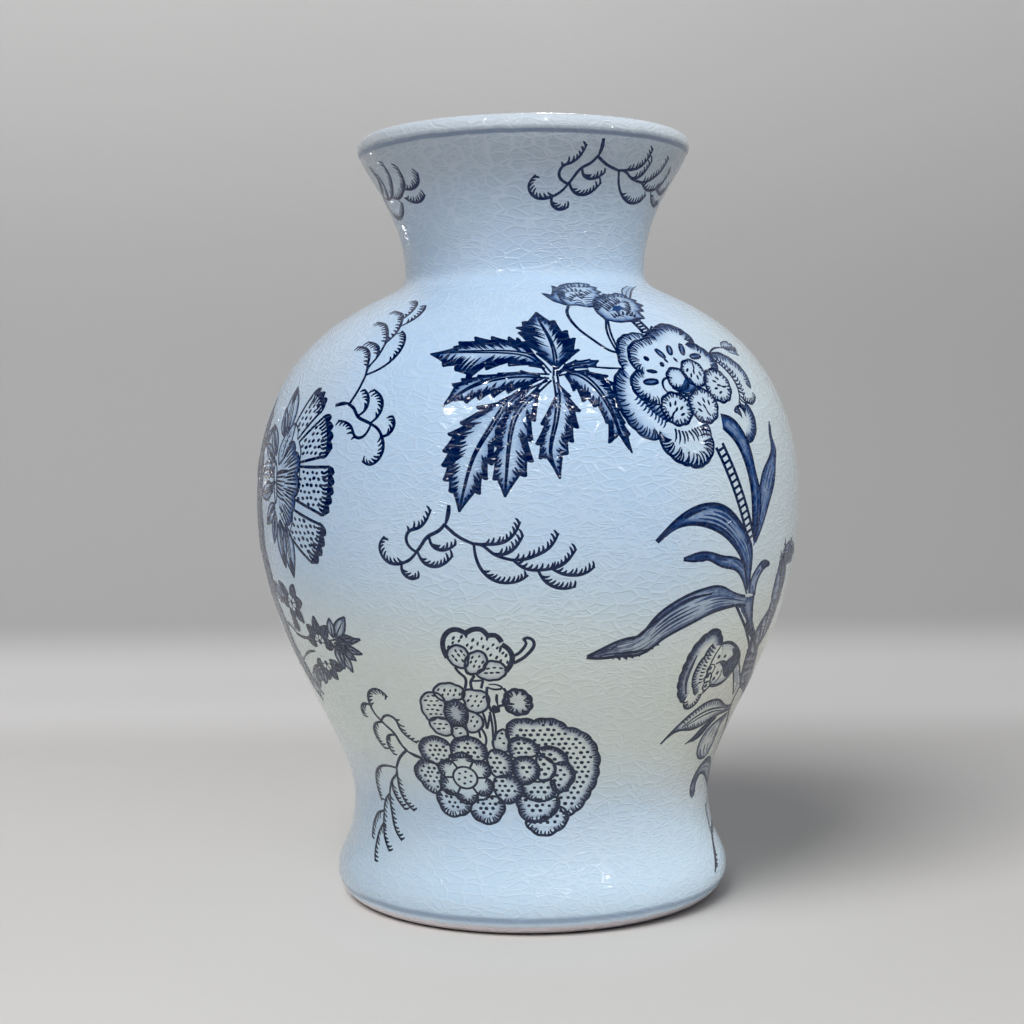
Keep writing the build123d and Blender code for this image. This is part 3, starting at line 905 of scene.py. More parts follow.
def upper_petals(ink):
    """Petals of the peony from its upper left round to its lower right."""
    petal(ink, [(-25, 9), (-24.5, 14), (-22.5, 19), (-19.5, 22.8), (-15.5, 24.6), (-11.5, 25.2), (-9, 24)],
          3.0, shading=0.45, fade=5.5, width=1.2)
    petal(ink, [(-17.5, 6.5), (-20.5, 9.5), (-20.3, 14.5), (-17, 19.5), (-12.5, 21.6), (-8, 22.5)], 3.4,
          width=1.4, shading=0.4, fade=5, spacing=1.35)
    petal(ink,
          [(-9.5, 23), (-6.5, 25.5), (-2.5, 27.5), (0.5, 29.8), (4.5, 30.6), (8.5, 29.2), (11.5, 26.2),
           (13, 23), (12, 20.5)], 3.8, shading=0.6, fade=6.5, spacing=1.35, width=1.4, comb=0.9)
    petal(ink, [(7.5, 19.5), (11, 20.8), (14.5, 18.6), (17.5, 15.6), (19, 12), (18.3, 8.8), (16, 7.6)], 3.2,
          shading=0.65, fade=5, width=1.4, spacing=1.3)
    petal(ink, [(18, 15), (22.5, 16.3), (27.5, 15), (32, 12.5), (35.8, 9), (37.4, 4.8), (36, 0.8)], 3.4,
          shading=0.5, fade=6, width=1.3)
    ink.stroke([(19.5, 12.5), (23.5, 8.5), (26, 4), (26.3, -1), (24, -5.5)], 1.0)
    ink.comb([(19.5, 12.5), (23.5, 8.5), (26, 4), (26.3, -1), (24, -5.5)], 3.4, 1.5, 76, 1, 0.9)
    ink.comb([(21.5, 13.5), (27, 9.5), (30, 4), (30.4, -1)], 2.6, 1.6, 76, -1, 0.7, tone=0.7)
    petal(ink, [(27.5, -3), (31, -5), (35, -4.6), (38, -2)], 2.0, side=1)
    petal(ink, [(28, -5), (31.4, -8.5), (32, -13), (29.6, -17.8), (25, -20)], 3.2, shading=0.65, fade=6,
          width=1.3)
    petal(ink, [(20, -8.4), (23.5, -6.4), (27, -6)], 4.2, spacing=1.4, comb=1.0)


def lower_petals(ink):
    """Petals of the peony from its left round to its foot."""
    petal(ink,
          [(-24.8, 8.6), (-27.5, 6.8), (-30, 3), (-31, -1.5), (-30.6, -6), (-29.4, -10.5), (-26.6, -14.6),
           (-22.6, -17.8), (-18, -17.8)], 3.6, side=1, shading=0.55, fade=6.5, width=1.35)
    petal(ink, [(-18, 8), (-22, 6), (-24, 2.5), (-23, -1.8), (-19.5, -4.4), (-15, -5.5)], 3.0, side=1,
          width=1.3, shading=0.5, fade=4.5)
    ink.shade([(-22, -3), (-20, -7), (-17, -10), (-14, -12)], 6, 0.6, 1)
    ink.comb([(-23, -2.5), (-20.5, -6.5), (-17.5, -9.5), (-14.5, -12)], 4.4, 1.5, 80, 1, 0.9)
    ink.comb([(-23, -2.5), (-20.5, -6.5), (-17.5, -9.5), (-14.5, -12)], 2.4, 1.5, 80, -1, 0.7, tone=0.7)
    petal(ink,
          [(-17.2, -15.5), (-17.5, -20), (-14.2, -24), (-10, -26.6), (-6.5, -27.4), (-3, -28.2), (0, -27.2),
           (3, -25), (5, -21.8), (4.6, -17.5), (3.5, -12.5)], 4.4, side=1, shading=0.3, fade=6, spacing=1.4,
          width=1.35, comb=0.95)
    ink.comb([(-11, -14.5), (-7, -15.5), (-3, -14.5), (1.5, -13.5)], 4.4, 1.5, 80, -1, 0.9)


def rosette(ink):
    """Heart of the peony: small round petals, each with a fan of spots, round a curled one."""
    rosette_petal(ink, (-8.4, -7.2), 6.2, 9, 0.94)
    rosette_petal(ink, (4.3, -6.0), 6.5, 9, 0.96, 20)
    rosette_petal(ink, (15.0, 2.0), 6.6, 10, 0.98)
    rosette_petal(ink, (4.6, 7.0), 5.2, 8, 1.05, 15, depth=1.2)
    rosette_petal(ink, (-4.0, 4.4), 4.4, 7, 1.0, 30, depth=1.0)
    ink.stroke([(-6.5, 4.8), (-10, 4.4), (-11.6, 2), (-10.6, -0.8), (-8, -1.2)], 0.95)
    ink.wash(smooth([(-7.5, 1.2), (-3.5, 1.6), (0, 4.8), (2.3, 3.6), (2.2, 0.6), (-2, -1.0), (-6.5, -0.6)],
                    0.8), 0.35, 0.6, layer=2)
    ink.comb([(-7, 0.4), (-2, 0.4), (2, 3)], 2.6, 1.5, 60, 1, 0.8)
    ink.stroke([(-8, 1), (-5, -0.8), (0, -1.4), (2.6, 0.8), (2.2, 3.6), (0, 5.2)], 1.0)
    ink.stroke([(-7.5, -1.8), (-3, -2.4), (1, -1.6)], 0.9)
    for centre, turn in (((-8.4, -7.2), 50), ((4.3, -6), 120), ((15, 2), 175), ((4.6, 7), 255)):
        for k in range(5):
            spot = turned([(-0.4 + (k % 2) * 1.9, (k - 2) * 1.45)], turn)[0] + centre
            ink.dot(spot, 1.15, 2.3, turn + (k - 2) * 14)
        ink.stroke(turned([(-4.6, 0), (-2.6, 0.4), (-1.0, 0)], turn) + centre, 0.9)


def drops(ink):
    """Drops between the petals of the peony and its heart: spots, then larger tinted ovals."""
    for spot, size, long, tilt in (
            ((-14, 13), 2.6, 1.0, 0), ((-8.5, 10.5), 2.2, 1.2, 60), ((-14, 7.5), 2.0, 2.6, -5),
            ((-6, 12.2), 1.4, 1.8, -60), ((-1.5, 12.6), 1.4, 2.0, -65)):
        ink.dot(spot, size, long, tilt)
    for spot, long, tilt in (
            ((-7, 15.4), 2.2, 120), ((-2, 17), 2.2, 70), ((4.2, 17.6), 2.8, 70), ((9.2, 14.4), 2.8, 8),
            ((-16, 3.2), 3.0, 5)):
        turns = np.linspace(0, 6.28, 17)
        loop = turned(np.c_[long * np.cos(turns), 0.95 * np.sin(turns)], tilt) + spot
        ink.wash(loop[:-1], 0.5)
        ink.stroke(loop, 1.0, (1, 1), step=0.6)


def tuft(ink):
    """Small jagged tuft behind the peony, on its own stalk."""
    ink.stroke([(18, 16), (23, 18.6), (30, 19)], 0.9)
    outline = [(29, 19.4), (30.5, 21.6), (34, 22.6), (38, 22.8), (36.4, 21.4), (40, 21.6), (38.5, 19.8),
               (41.5, 19), (38.6, 18), (40, 15.6), (36, 16.4), (32.5, 17)]
    ink.wash(outline, 0.12, 0.4)
    ink.stroke(outline, 0.8, curved=False)
    ink.comb([(30, 19.4), (39.5, 19.2)], 2.4, 1.3, 25, 1, 0.75)
    ink.comb([(30, 19), (39, 18.4)], 2.2, 1.3, 25, -1, 0.75)


def peony():
    """A large open flower: outer petals with combed edges round a rosette of small round petals."""
    ink = Ink(37)
    upper_petals(ink)
    lower_petals(ink)
    rosette(ink)
    drops(ink)
    tuft(ink)
    return ink


def bud_head(ink, outline, tint, rows, layer=0):
    """A ragged flower head: a tinted outline with rows of short heavy strokes leaning up through it."""
    ink.wash(outline, tint, 0.6, reach=1.4, layer=layer)
    ink.stroke(outline, 1.15, (1, 1), step=0.7, curved=False)
    for path, length in rows:
        ink.comb(path, length, 1.5, 68, 1, 1.2, spread=0.3)


def left_bud(ink):
    """The taller bud, with its sepals and its curved stalks."""
    ink.stroke([(-12, -5), (-14, -9), (-14.5, -14), (-13, -20), (-9, -26), (-4.5, -30.5), (-1, -31.5)],
               1.25, (0.9, 0.9))
    ink.stroke([(-1, -14), (-2.6, -19), (-3.2, -24), (-2.2, -31)], 0.9, (1, 1))
    ink.stroke([(-0.3, -14), (-1.4, -19), (-1.9, -24), (-1.2, -31)], 0.9, (1, 1))
    head = [(-12.4, -4.5), (-13.2, 0), (-12, 6), (-10, 11), (-8, 13.6), (-4.6, 15.2), (0, 16), (3.4, 15),
            (2.6, 12.6), (5.4, 12), (3.6, 9.6), (5.2, 7.2), (3, 5.6), (4, 2.8), (1, 1.6), (-0.5, -2),
            (-1, -5), (-4.6, -5.6), (-8, -4.5)]
    bud_head(ink, head, 0.12,
             [([(-11.5, 2), (-8, 6.5), (-3.5, 7)], 3.6), ([(-9, 9.5), (-4, 11.5), (1, 11.5)], 3.4),
              ([(-4.8, 0.5), (-2, 3.5), (1, 6)], 3.2), ([(-9.5, -1.5), (-7, 2), (-4.5, 3)], 3.0)])
    leafy = [(-12.5, -4.5), (-16, -1.5), (-17.2, 2), (-18, 5.4), (-15, 3.6), (-13.6, 6.4), (-12.4, 9.5),
             (-11.5, 13), (-10, 8), (-11, 2)]
    ink.wash(leafy, 0.2, 0.7, reach=1.2, layer=1)
    ink.stroke(leafy, 1.1, (1, 1), curved=False)
    ink.stroke([(-12.4, -4.6), (-8, -4.4), (-5, -5.5), (-1, -5.2)], 1.1)
    for v in (-1.2, -3.0):
        ink.stroke([(-9, v), (-6.8, v + 0.8), (-5.6, v - 0.8)], 0.8)
    for k in range(4):
        ink.stroke([(-4.6, -3.6 + 1.7 * k), (-2.4, -3.3 + 1.7 * k), (-0.4, -3.8 + 1.9 * k)], 0.7)


def right_bud(ink):
    """The broader bud, which leans to the right."""
    head = [(-1, -14), (-2.6, -10), (-2.6, -6), (-1, -1), (1.6, 1.6), (4, 2.8), (5.6, 5.4), (8, 4.2),
            (11.5, 6.6), (14.4, 5.4), (15.2, 2), (18, 0.8), (16.6, -1.2), (19.4, -3.4), (16.8, -4.8),
            (17.6, -7.6), (14.6, -8), (15.6, -12.6), (12.4, -13), (8.8, -14.6), (4, -15.4)]
    bud_head(ink, head, 0.2,
             [([(-1.5, -8), (2, -4), (6, -0.5)], 4.2), ([(2, -8.5), (5.5, -5), (9.5, -2)], 4.0),
              ([(10.5, -10), (12.5, -6), (13.5, -2)], 3.4), ([(5, 1.6), (9, 3), (13.5, 2.4)], 2.6),
              ([(3, -13), (7, -11), (11, -12)], 3.0)], 1)
    ink.wash([(1.5, -9), (5, -4), (9.5, -1.5), (9.8, -6.5), (6, -10)], 0.8, 0.4, layer=2)
    ink.stroke([(-1, -14), (4, -15.4), (9, -14.4)], 1.0)
    ink.stroke([(3.6, -12), (6.4, -11.6), (7.6, -13)], 0.9)


def buds():
    """Two ragged buds on curved stalks, a curled blade and a short barred stem above the peony."""
    ink = Ink(41)
    left_bud(ink)
    right_bud(ink)
    left, right = [(14, 5), (17, 11), (22, 15)], [(15.4, 1), (19, 7), (23, 12), (27, 15)]
    ink.stroke(left, 0.8, (0.8, 0.5))
    ink.stroke(right, 1.0, (0.8, 0.5))
    ink.wash(np.vstack([smooth(left), smooth(right)[::-1]]), 0.24)
    ink.stroke([(15, 4), (18.4, 9.4), (23, 13.6)], 0.5)
    ladder(ink, (11, -14.5), (13.2, -21), 3.4, 5)
    ink.stroke([(9.6, -14.2), (12.6, -14), (13.8, -13.2)], 0.9)
    ink.stroke([(14.8, -20.6), (16.8, -17.4), (17.6, -20), (19.4, -19.6)], 0.9, curved=False)
    return ink


def ladder(ink, foot, head, gap, bars):
    """A barred stem: two rails and the rungs between them."""
    foot, head = np.asarray(foot, float), np.asarray(head, float)
    way = (head - foot) / np.linalg.norm(head - foot)
    side = np.array([-way[1], way[0]]) * gap / 2
    for sign in (-1, 1):
        ink.stroke([foot + side * sign, head + side * sign], 1.4, (1, 1), curved=False)
    for t in np.linspace(0.04, 0.96, bars):
        middle = foot + (head - foot) * t
        ink.stroke([middle - side, middle + side], 1.0, (1, 1), curved=False)


def blade(ink, upper, lower, tint=0.35, rim=0.6, streaks=3, width=1.2):
    """A strap leaf between two edges that meet at its tip, tinted, with dark streaks along it."""
    upper, lower = smooth(upper, 1.2), smooth(lower, 1.2)
    ink.wash(np.vstack([upper, lower[::-1]]), tint, rim, reach=1.3)
    share = np.linspace(0, 1, 32)
    first, second = (read_line(edge, np.linspace(0, 1, len(edge)), share) for edge in (upper, lower))
    for line in (first, second):
        ink.stroke(line[::2], width, (0.9, 0.9))
    for k in range(streaks):
        mix = (k + 0.7) / (streaks + 0.4)
        line = first * (1 - mix) + second * mix
        for start, stop in ((1, 12), (9, 22), (18, 31)):
            start, stop = start + ink.chance.randint(0, 3), stop + ink.chance.randint(-3, 0)
            ink.stroke(line[start:stop:3], ink.chance.uniform(0.6, 1.3), (0.3, 0.2),
                       ink.chance.uniform(0.5, 0.75))


def blades():
    """Strap leaves, a barred stem and a sprout round one stalk, down to where it leaves the branch."""
    ink = Ink(53)
    ladder(ink, (-2.0, 13), (-18.2, 48), 3.9, 15)
    blade(ink, [(-14, 59), (-8, 57.4), (-4, 53), (-1, 46), (0.5, 38), (3, 30), (2.2, 20), (0, 12)],
          [(-14.5, 54.5), (-9, 49.5), (-5, 42), (-2.5, 33), (-1.6, 22), (-1, 14)], 0.36, 0.8, 4, 1.6)
    blade(ink, [(18.5, 56.5), (16, 52), (15.5, 47), (12, 42.5), (7, 38.5), (3, 31), (1, 20), (-0.5, 11)],
          [(18.5, 55), (17.4, 50), (19, 46.5), (17.5, 42), (15.5, 36), (10, 27), (4, 17), (0, 11)], 0.4,
          0.6, 4, 1.2)
    blade(ink,
          [(-48, 15), (-41, 21.5), (-34, 25.5), (-26, 27.2), (-18, 26), (-10, 20.5), (-4, 14.5), (-1.5, 11),
           (0, 3), (1, -6)],
          [(-47.4, 14.6), (-40, 19.5), (-33, 20.5), (-25, 19), (-18, 16), (-11, 11), (-5, 4.5), (-2, -1),
           (1, -7)], 0.34, 0.6, 5, 1.3)
    ink.stroke([(-40, 20), (-32, 20.9), (-24, 20), (-16, 16.6), (-9, 10.6), (-3.4, 4)], 0.7)
    blade(ink, [(-36, 8.3), (-30, 9.9), (-24, 9.8), (-18, 8.2), (-12, 7.4), (-6, 5.2), (-1.5, 2)],
          [(-36, 7.9), (-30, 7.2), (-25, 7.5), (-20, 5.6), (-15, 4), (-10, 3), (-6, 0.5), (-2, -4),
           (1, -8)], 0.3, 0.6, 2, 1.0)
    ink.wash(smooth([(-36, 8.1), (-31, 9.7), (-25, 9.4), (-25.4, 7.6), (-30.5, 7.3)], 0.8), 0.95, layer=1)
    ink.stroke([(-47, 15.4), (-41, 20.6), (-34, 24), (-27, 25.6)], 2.0, (0.5, 0.3))
    blade(ink,
          [(-65, -26.5), (-58, -22.5), (-52, -20.3), (-48.5, -20), (-44, -14), (-38, -8.5), (-32, -5.5),
           (-24, -3.4), (-16, -3.2), (-10, -5.5), (-4, -7.3), (2, -8.4)],
          [(-65, -26.9), (-60, -27.5), (-52, -27), (-44, -26.5), (-39, -22.4), (-33, -18.7), (-26, -15.7),
           (-18, -12.7), (-10, -11.4), (-4, -11), (4, -12.5)], 0.3, 0.5, 7, 1.3)
    ink.wash([(-65, -26.6), (-60, -24), (-55, -22), (-55, -25), (-60, -27.2)], 0.9, layer=1)
    ink.stroke([(-64, -26.6), (-56, -25.4), (-48, -25.8), (-42, -24.8)], 1.8, (0.4, 0.3))
    ink.comb([(-56, -27), (-46, -26.8), (-40, -23.4)], 1.8, 2.4, 40, -1, 1.0)
    ink.stroke([(-50, -21), (-44, -15.6), (-37, -9.8), (-30, -6.8), (-20, -5.4)], 1.9, (0.4, 0.4))
    blade(ink, [(2, -7), (1.5, -2), (4, 2), (8, 4.7), (14.5, 3.3)],
          [(6.5, -8), (5.8, -4), (6.8, -1), (9.4, 1.8), (14.3, 3)], 0.3, 0.5, 1, 1.1)
    ink.wash(smooth([(6.6, 3.9), (9.5, 4.6), (14.4, 3.2), (10, 2.2), (7.6, 2)], 0.8), 0.95, layer=1)
    ink.stroke([(5.5, -7), (7, -13), (9.6, -18.6)], 1.3, (1, 1))
    ink.wash([(1, -8.5), (6, -8), (9, -18), (14, -23), (18.5, -26.5), (15, -30), (8, -22.5), (1, -15),
              (-4, -11)], 0.4, 0.7, layer=1)
    ink.stroke([(-5, -11), (1, -16.6), (8, -22.8), (15, -30)], 1.3, (1, 1))
    ink.stroke([(9, -18), (14, -23), (18.5, -26.6)], 1.3, (1, 1))
    ink.stroke([(-1, -11), (5, -17), (12, -24)], 0.8, (1, 1))
    return ink


BARK_SLANT = -55.0  # of the bands across a branch, degrees from square
BARK_STEP = 4.2  # from band to band, mm


def trunk(ink, spine, width):
    """A thick textured branch: two heavy edges, and bands of dark hatching that slope across it."""
    spine = smooth(spine, 1.0)
    ahead = heading(spine)
    across = leftward(ahead)
    distance = along(spine)
    half = np.interp(distance, np.linspace(0, distance[-1], len(width)), width) / 2
    bulge = 1 + 0.14 * np.sin(distance / 3.1)
    left = spine + across * (half * bulge)[:, None]
    right = spine - across * (half * bulge[::-1])[:, None]
    ink.wash(np.vstack([left, right[::-1]]), 0.3, 0.8, reach=1.5)
    ink.stroke(left[::2], 1.9, (0.9, 0.9))
    ink.stroke(right[::2], 1.5, (0.9, 0.9))
    for d in np.arange(1.5, distance[-1] - 1.5, BARK_STEP):
        k = int(np.searchsorted(distance, d))
        lean = turned([across[k]], BARK_SLANT)[0]
        start = spine[k] + across[k] * half[k] * 0.9
        end = start - lean * half[k] * 2.6
        middle = (start + end) / 2 + ahead[k] * 0.8
        ink.stroke([start, middle, end], 1.7, (0.9, 0.4))
        ink.comb([start, middle, end], 2.2, 1.5, 70, 1, 0.9, (0.1, 0.8))
        ink.dot(spine[k] - across[k] * half[k] * 0.35 + ahead[k] * BARK_STEP * 0.45, 1.2, 1.8, 60)


def branch():
    """The thick branch at the side of the vase, hooked at its top, and the twigs that join it."""
    ink = Ink(59)
    trunk(ink,
          [(12, 17), (3, 18.5), (-3.5, 16), (-4.4, 10), (-2.6, 3), (-4, -6), (-8, -13), (-9.6, -20),
           (-6, -27), (0, -32), (8, -37), (18, -42)], (4, 8, 11, 12, 12, 11, 10, 8, 7))
    ink.wash(smooth([(-8, 13.6), (-5.5, 17.4), (0, 19.4), (6, 19.8), (4, 16.6), (-1, 15), (-4, 12)], 0.8),
             0.95, layer=1)
    ink.stroke([(-26, -6), (-22, -9.5), (-17, -12.5), (-11, -14)], 2.2, (1, 1))
    ink.stroke([(-24, -10), (-18, -15), (-12.5, -19)], 1.2, (1, 1))
    return ink


def far_branch():
    """A long thick branch that runs down the turn of the vase on the other side, with leaves along it."""
    ink = Ink(97)
    trunk(ink,
          [(-2, 66), (-3, 50), (-1.4, 36), (-2, 22), (-0.5, 8), (0.6, -8), (3, -22), (6, -36), (12, -48)],
          (7, 10, 12, 13, 13, 12, 11, 9, 7))
    for root, tip, width in (((3, 52), (9, 60), 5), ((-7, 40), (-17, 48), 6), ((-7, 12), (-18, 16), 6)):
        sepal(ink, root, tip, width)
    return ink


def half_blossom(ink):
    """A half-turned blossom: petals on its left, a spotted heart and a dark cup on its right."""
    edge = [(3.5, 9), (1.6, 13), (-2, 15.6), (-6, 14.3), (-9.4, 11.6), (-11.4, 8), (-12.4, 4), (-12.8, 0),
            (-12.9, -4), (-11.6, -8), (-9.4, -12), (-6.5, -14)]
    petal(ink, edge, 2.2, side=1, bulge=0.16, shading=0.75, fade=6, spacing=1.4, width=1.3)
    inner = [(-1.5, 10), (-4, 5), (-6.4, 0), (-6.2, -4.5), (-4, -8.5), (-1.5, -11.5)]
    petal(ink, inner, 2.2, side=1, bulge=0.1, shading=0.45, fade=5, spacing=1.4, width=1.2)
    ink.stroke([(-8.4, 6), (-9.4, 0), (-9, -6), (-7, -10.5)], 1.6, (0.5, 0.5), 0.8)
    ink.comb([(-1, 9), (-2.6, 4), (-3.4, -1), (-2.6, -6)], 2.2, 1.6, 80, 1, 0.8)
    petal(ink, [(-6.5, -14), (-4.4, -16.8), (-1, -16.8), (1, -14.6), (1.6, -11.6)], 2.0, side=1)
    ink.stroke([(4, 9.5), (1.4, 4), (0.6, -2), (1.2, -8), (2.4, -11)], 0.9)
    ink.stroke([(1.6, -11.6), (4, -9.6), (5.4, -8)], 0.9)
    for spot in ((4.5, 4), (8.3, 3.8), (1.6, -0.5), (1.6, -4), (2.5, -8), (7, -3), (6, -5.4)):
        ink.dot(spot, 1.9)
    for middle, size in (((2, -1), 2.2), ((2, -4.6), 2.2), ((2.6, -8), 2.0)):
        ink.stroke(ring(middle, size, 6, 0.1), 0.5, (1, 1), curved=False)
    cup = [(4, 9.5), (8, 9.5), (13, 7.6), (17.6, 4.4), (20, 1), (18, -3), (15, -6.6), (10, -8.6), (5, -8.2)]
    ink.wash(smooth(cup, 0.9), 0.06, 0.45, reach=1.3)
    ink.stroke(cup, 1.5, (0.8, 1))
    ink.wash(smooth([(6, 1.4), (10, 1.6), (15, 4), (19.6, 1.4), (18, -3.4), (14, -5.8), (11.4, -4.4),
                     (9, -1)], 0.9), 0.8, 0.85, layer=1)
    ink.wash(smooth([(11.6, 6.4), (14.8, 6.6), (19.6, 2), (17, 1.4), (14, 3.2)], 0.8), 0.9, layer=2)
    ink.stroke([(4, 1), (8, 1.8), (12, 0)], 0.9)
    ink.stroke([(4.4, 0), (3.6, -4), (5.4, -7.6)], 0.8)
    ink.stroke([(9, -2), (9.6, -4), (7, -7.6)], 0.8)
    ink.stroke([(20, 0.6), (25, -5), (31, -11)], 1.0, (1, 1))
    ink.stroke([(18.4, -3.6), (22.6, -9), (28, -15.6)], 1.0, (1, 1))
    ink.wash([(20, 0.6), (25, -5), (31, -11), (28, -15.6), (22.6, -9), (18.4, -3.6)], 0.35)


def folded_leaves(ink):
    """The folded leaf under the half-turned blossom, the small leaves below it and the lower stem."""
    blade(ink,
          [(-10.2, -31.8), (-6, -26), (-1, -21), (5, -17), (11, -15.6), (18, -17), (24, -20), (33, -20.6)],
          [(-9.6, -31), (-8, -29), (-3, -26.8), (4, -27.4), (10, -26.4), (17, -24), (28, -23), (33, -22.6)],
          0.12, 0.5, 0, 1.2)
    ink.comb([(-3, -23), (3, -18.6), (11, -16.4), (20, -18.4)], 1.9, 1.6, 75, -1, 0.7)
    ink.comb([(28, -23.2), (18, -24.2), (8, -26.6), (1, -27)], 2.4, 1.4, 55, -1, 0.7)
    ink.stroke([(-2, -25.6), (4, -21.8), (12, -19.8), (24, -20.8), (31, -21.4)], 1.0)
    ink.stroke([(0, -25.2), (6, -22.8), (14, -21.2), (24, -22)], 0.8)
    ink.wash([(-10, -31.6), (-6, -26.2), (-3.4, -26.6), (-6.4, -28.6)], 0.95, layer=1)
    leaflet = smooth([(4, -34), (8, -31), (12, -27.2), (20, -24.6), (16, -28), (12.6, -31.6), (8, -33.4)],
                     0.9)
    ink.wash(leaflet, 0.7, 0.85)
    ink.stroke(leaflet, 0.8, (1, 1), curved=False)
    blade(ink,
          [(31, -24.6), (24, -26), (18, -28.6), (14.6, -33), (14.6, -38), (18, -42.4), (22, -43.4),
           (26, -43.2)], [(31, -25.6), (28, -29), (28.4, -35), (27.6, -40), (26, -43.2)], 0.16, 0.5, 4, 1.2)
    blade(ink, [(44, -55), (36, -47.4), (30, -44.6), (24, -46), (19.6, -50), (18, -56), (20, -60)],
          [(44, -60), (36, -55), (30, -51.6), (24, -51), (22, -55), (22.6, -59)], 0.3, 0.6, 3, 1.3)
    ink.stroke([(33, -12), (31, -20), (34, -26), (40, -34), (44, -44)], 1.6, (1, 1))


def side_blossom():
    """A half-turned blossom on a bent stalk, with its folded leaves."""
    ink = Ink(61)
    half_blossom(ink)
    folded_leaves(ink)
    return ink


def foot_sprig():
    """The dark frond that runs up the foot at the side."""
    ink = Ink(67)
    ink.stroke([(7, -44), (11, -40), (15, -36), (19, -32), (24, -29.5), (32, -28.5)], 2.2, (0.5, 1))
    ink.comb([(8, -43), (14, -37), (20, -31), (28, -28.6)], 3.4, 1.8, 40, -1, 1.0)
    ink.stroke([(19, -31), (19, -26), (17.5, -21)], 1.3, (1, 0.5))
    ink.comb([(19, -30), (19, -26), (17.5, -21)], 2.6, 1.6, 50, -1, 0.8)
    ink.stroke([(17, -21), (24, -18), (31, -12)], 1.0)
    return ink


TOOTH = 2.4  # height of the teeth of a fan petal, mm
RIM_BAND = 2.6  # width of its dark rim
STAR_RADIUS = 3.4  # of the disc that the points of a star blossom start from


def wedge(ink, inner, outer, teeth):
    """A dotted fan petal with a dark toothed rim, between two edges that are each given by their ends."""
    inner = [np.asarray(p, float) for p in inner]
    outer = [np.asarray(p, float) for p in outer]
    heart = (inner[0] + inner[1]) / 2
    rim_chord = outer[1] - outer[0]
    out = np.array([rim_chord[1], -rim_chord[0]])
    if out @ ((outer[0] + outer[1]) / 2 - heart) < 0:
        out = -out
    out /= np.linalg.norm(out)
    swell = 0.10 * np.linalg.norm(rim_chord)

    def rim(t, lift):
        return outer[0] + rim_chord * t + out * (lift + swell * math.sin(math.pi * t))

    zigzag = []
    for k in range(teeth):
        zigzag.append(rim((k + 0.12) / teeth, TOOTH * 0.75))
        zigzag.append(rim((k + 0.5) / teeth, TOOTH))
        zigzag.append(rim((k + 0.82) / teeth, TOOTH * 0.3))
    low_rim = [rim(t, -RIM_BAND * 0.35) for t in np.linspace(0, 1, 9)]
    ink.wash(np.vstack([[outer[0]], zigzag, [outer[1]], low_rim[::-1]]), 0.9, 1.0)
    ink.stroke([outer[0]] + zigzag + [outer[1]], 0.9, (1, 1), step=0.7, curved=False)
    inward = -1 if rim_chord[0] * out[1] > rim_chord[1] * out[0] else 1
    ink.comb(low_rim, 2.8, 1.7, 90, inward, 1.1, spread=0.35)
    for a, b in zip(inner, outer):
        ink.stroke([a, (a + b) / 2 + ink.chance.uniform(-0.3, 0.3), b], 1.2, (0.8, 0.9))
    ink.stroke([inner[0], heart + out * 1.2, inner[1]], 0.8)
    shape = np.vstack([inner[0], low_rim[0], low_rim[3], low_rim[5], low_rim[8], inner[1]])
    tilt = math.degrees(math.atan2(out[1], out[0]))
    ink.stipple(shape, 2.7, 1.1, 1.45, 1.5, tilt)


def sepal(ink, root, tip, width, tint=0.06, rim=0.5, veins=3, dark_tip=True):
    """A pointed petal from root to tip, tinted at its edges, with a dark tip and dark veins."""
    root, tip = np.asarray(root, float), np.asarray(tip, float)
    way = tip - root
    side = np.array([-way[1], way[0]]) / np.linalg.norm(way) * width / 2
    left = smooth([root, root + way * 0.35 + side, root + way * 0.7 + side * 0.8, tip], 0.9)
    right = smooth([root, root + way * 0.35 - side, root + way * 0.7 - side * 0.8, tip], 0.9)
    ink.wash(np.vstack([left, right[::-1][1:-1]]), tint, rim, reach=0.9)
    ink.stroke(left, 1.0, (0.7, 0.8), curved=False)
    ink.stroke(right, 1.0, (0.7, 0.8), curved=False)
    if dark_tip:
        ink.stroke([root + way * 0.62, root + way * 0.95], width * 0.4, (0.2, 0.3))
    for k in range(veins):
        shift = side * (2 * (k + 1) / (veins + 1) - 1) * 0.6
        ink.stroke([root + way * 0.1 + shift * 0.5, root + way * 0.45 + shift,
                    root + way * 0.78 + shift * 0.4], 0.8, (0.9, 0.3))


def fans(ink):
    """Petals of the carnation: four dotted fans on its right, pointed ones round the rest."""
    wedge(ink, [(3.5, 21), (7.5, 15)], [(9.8, 33.5), (19.5, 26.5)], 3)
    wedge(ink, [(9, 14), (11.5, 6.5)], [(22, 24), (27.4, 9)], 4)
    wedge(ink, [(12, 5), (9.5, -7)], [(29.6, 5), (27, -12.4)], 5)
    wedge(ink, [(8, -10.5), (4.5, -20)], [(26.4, -16), (18, -30)], 4)
    for root, tip, width in (
            ((-1, 17), (-6.4, 36), 9.5), ((-4, 16), (-9.5, 27.5), 5), ((-8, 9), (-18.6, 21), 6),
            ((-9, 6.5), (-23, 13.4), 5), ((-9, 3.4), (-26, 3.6), 6), ((-9, -3), (-25, -6), 6.5),
            ((-7, -9), (-17, -17), 6), ((-6.5, -12), (-10, -24), 5), ((-3, -15), (-2, -33), 7),
            ((2.5, -16), (3.4, -36.4), 8)):
        sepal(ink, root, tip, width, 0.08, 0.5, 3, width > 5.5)


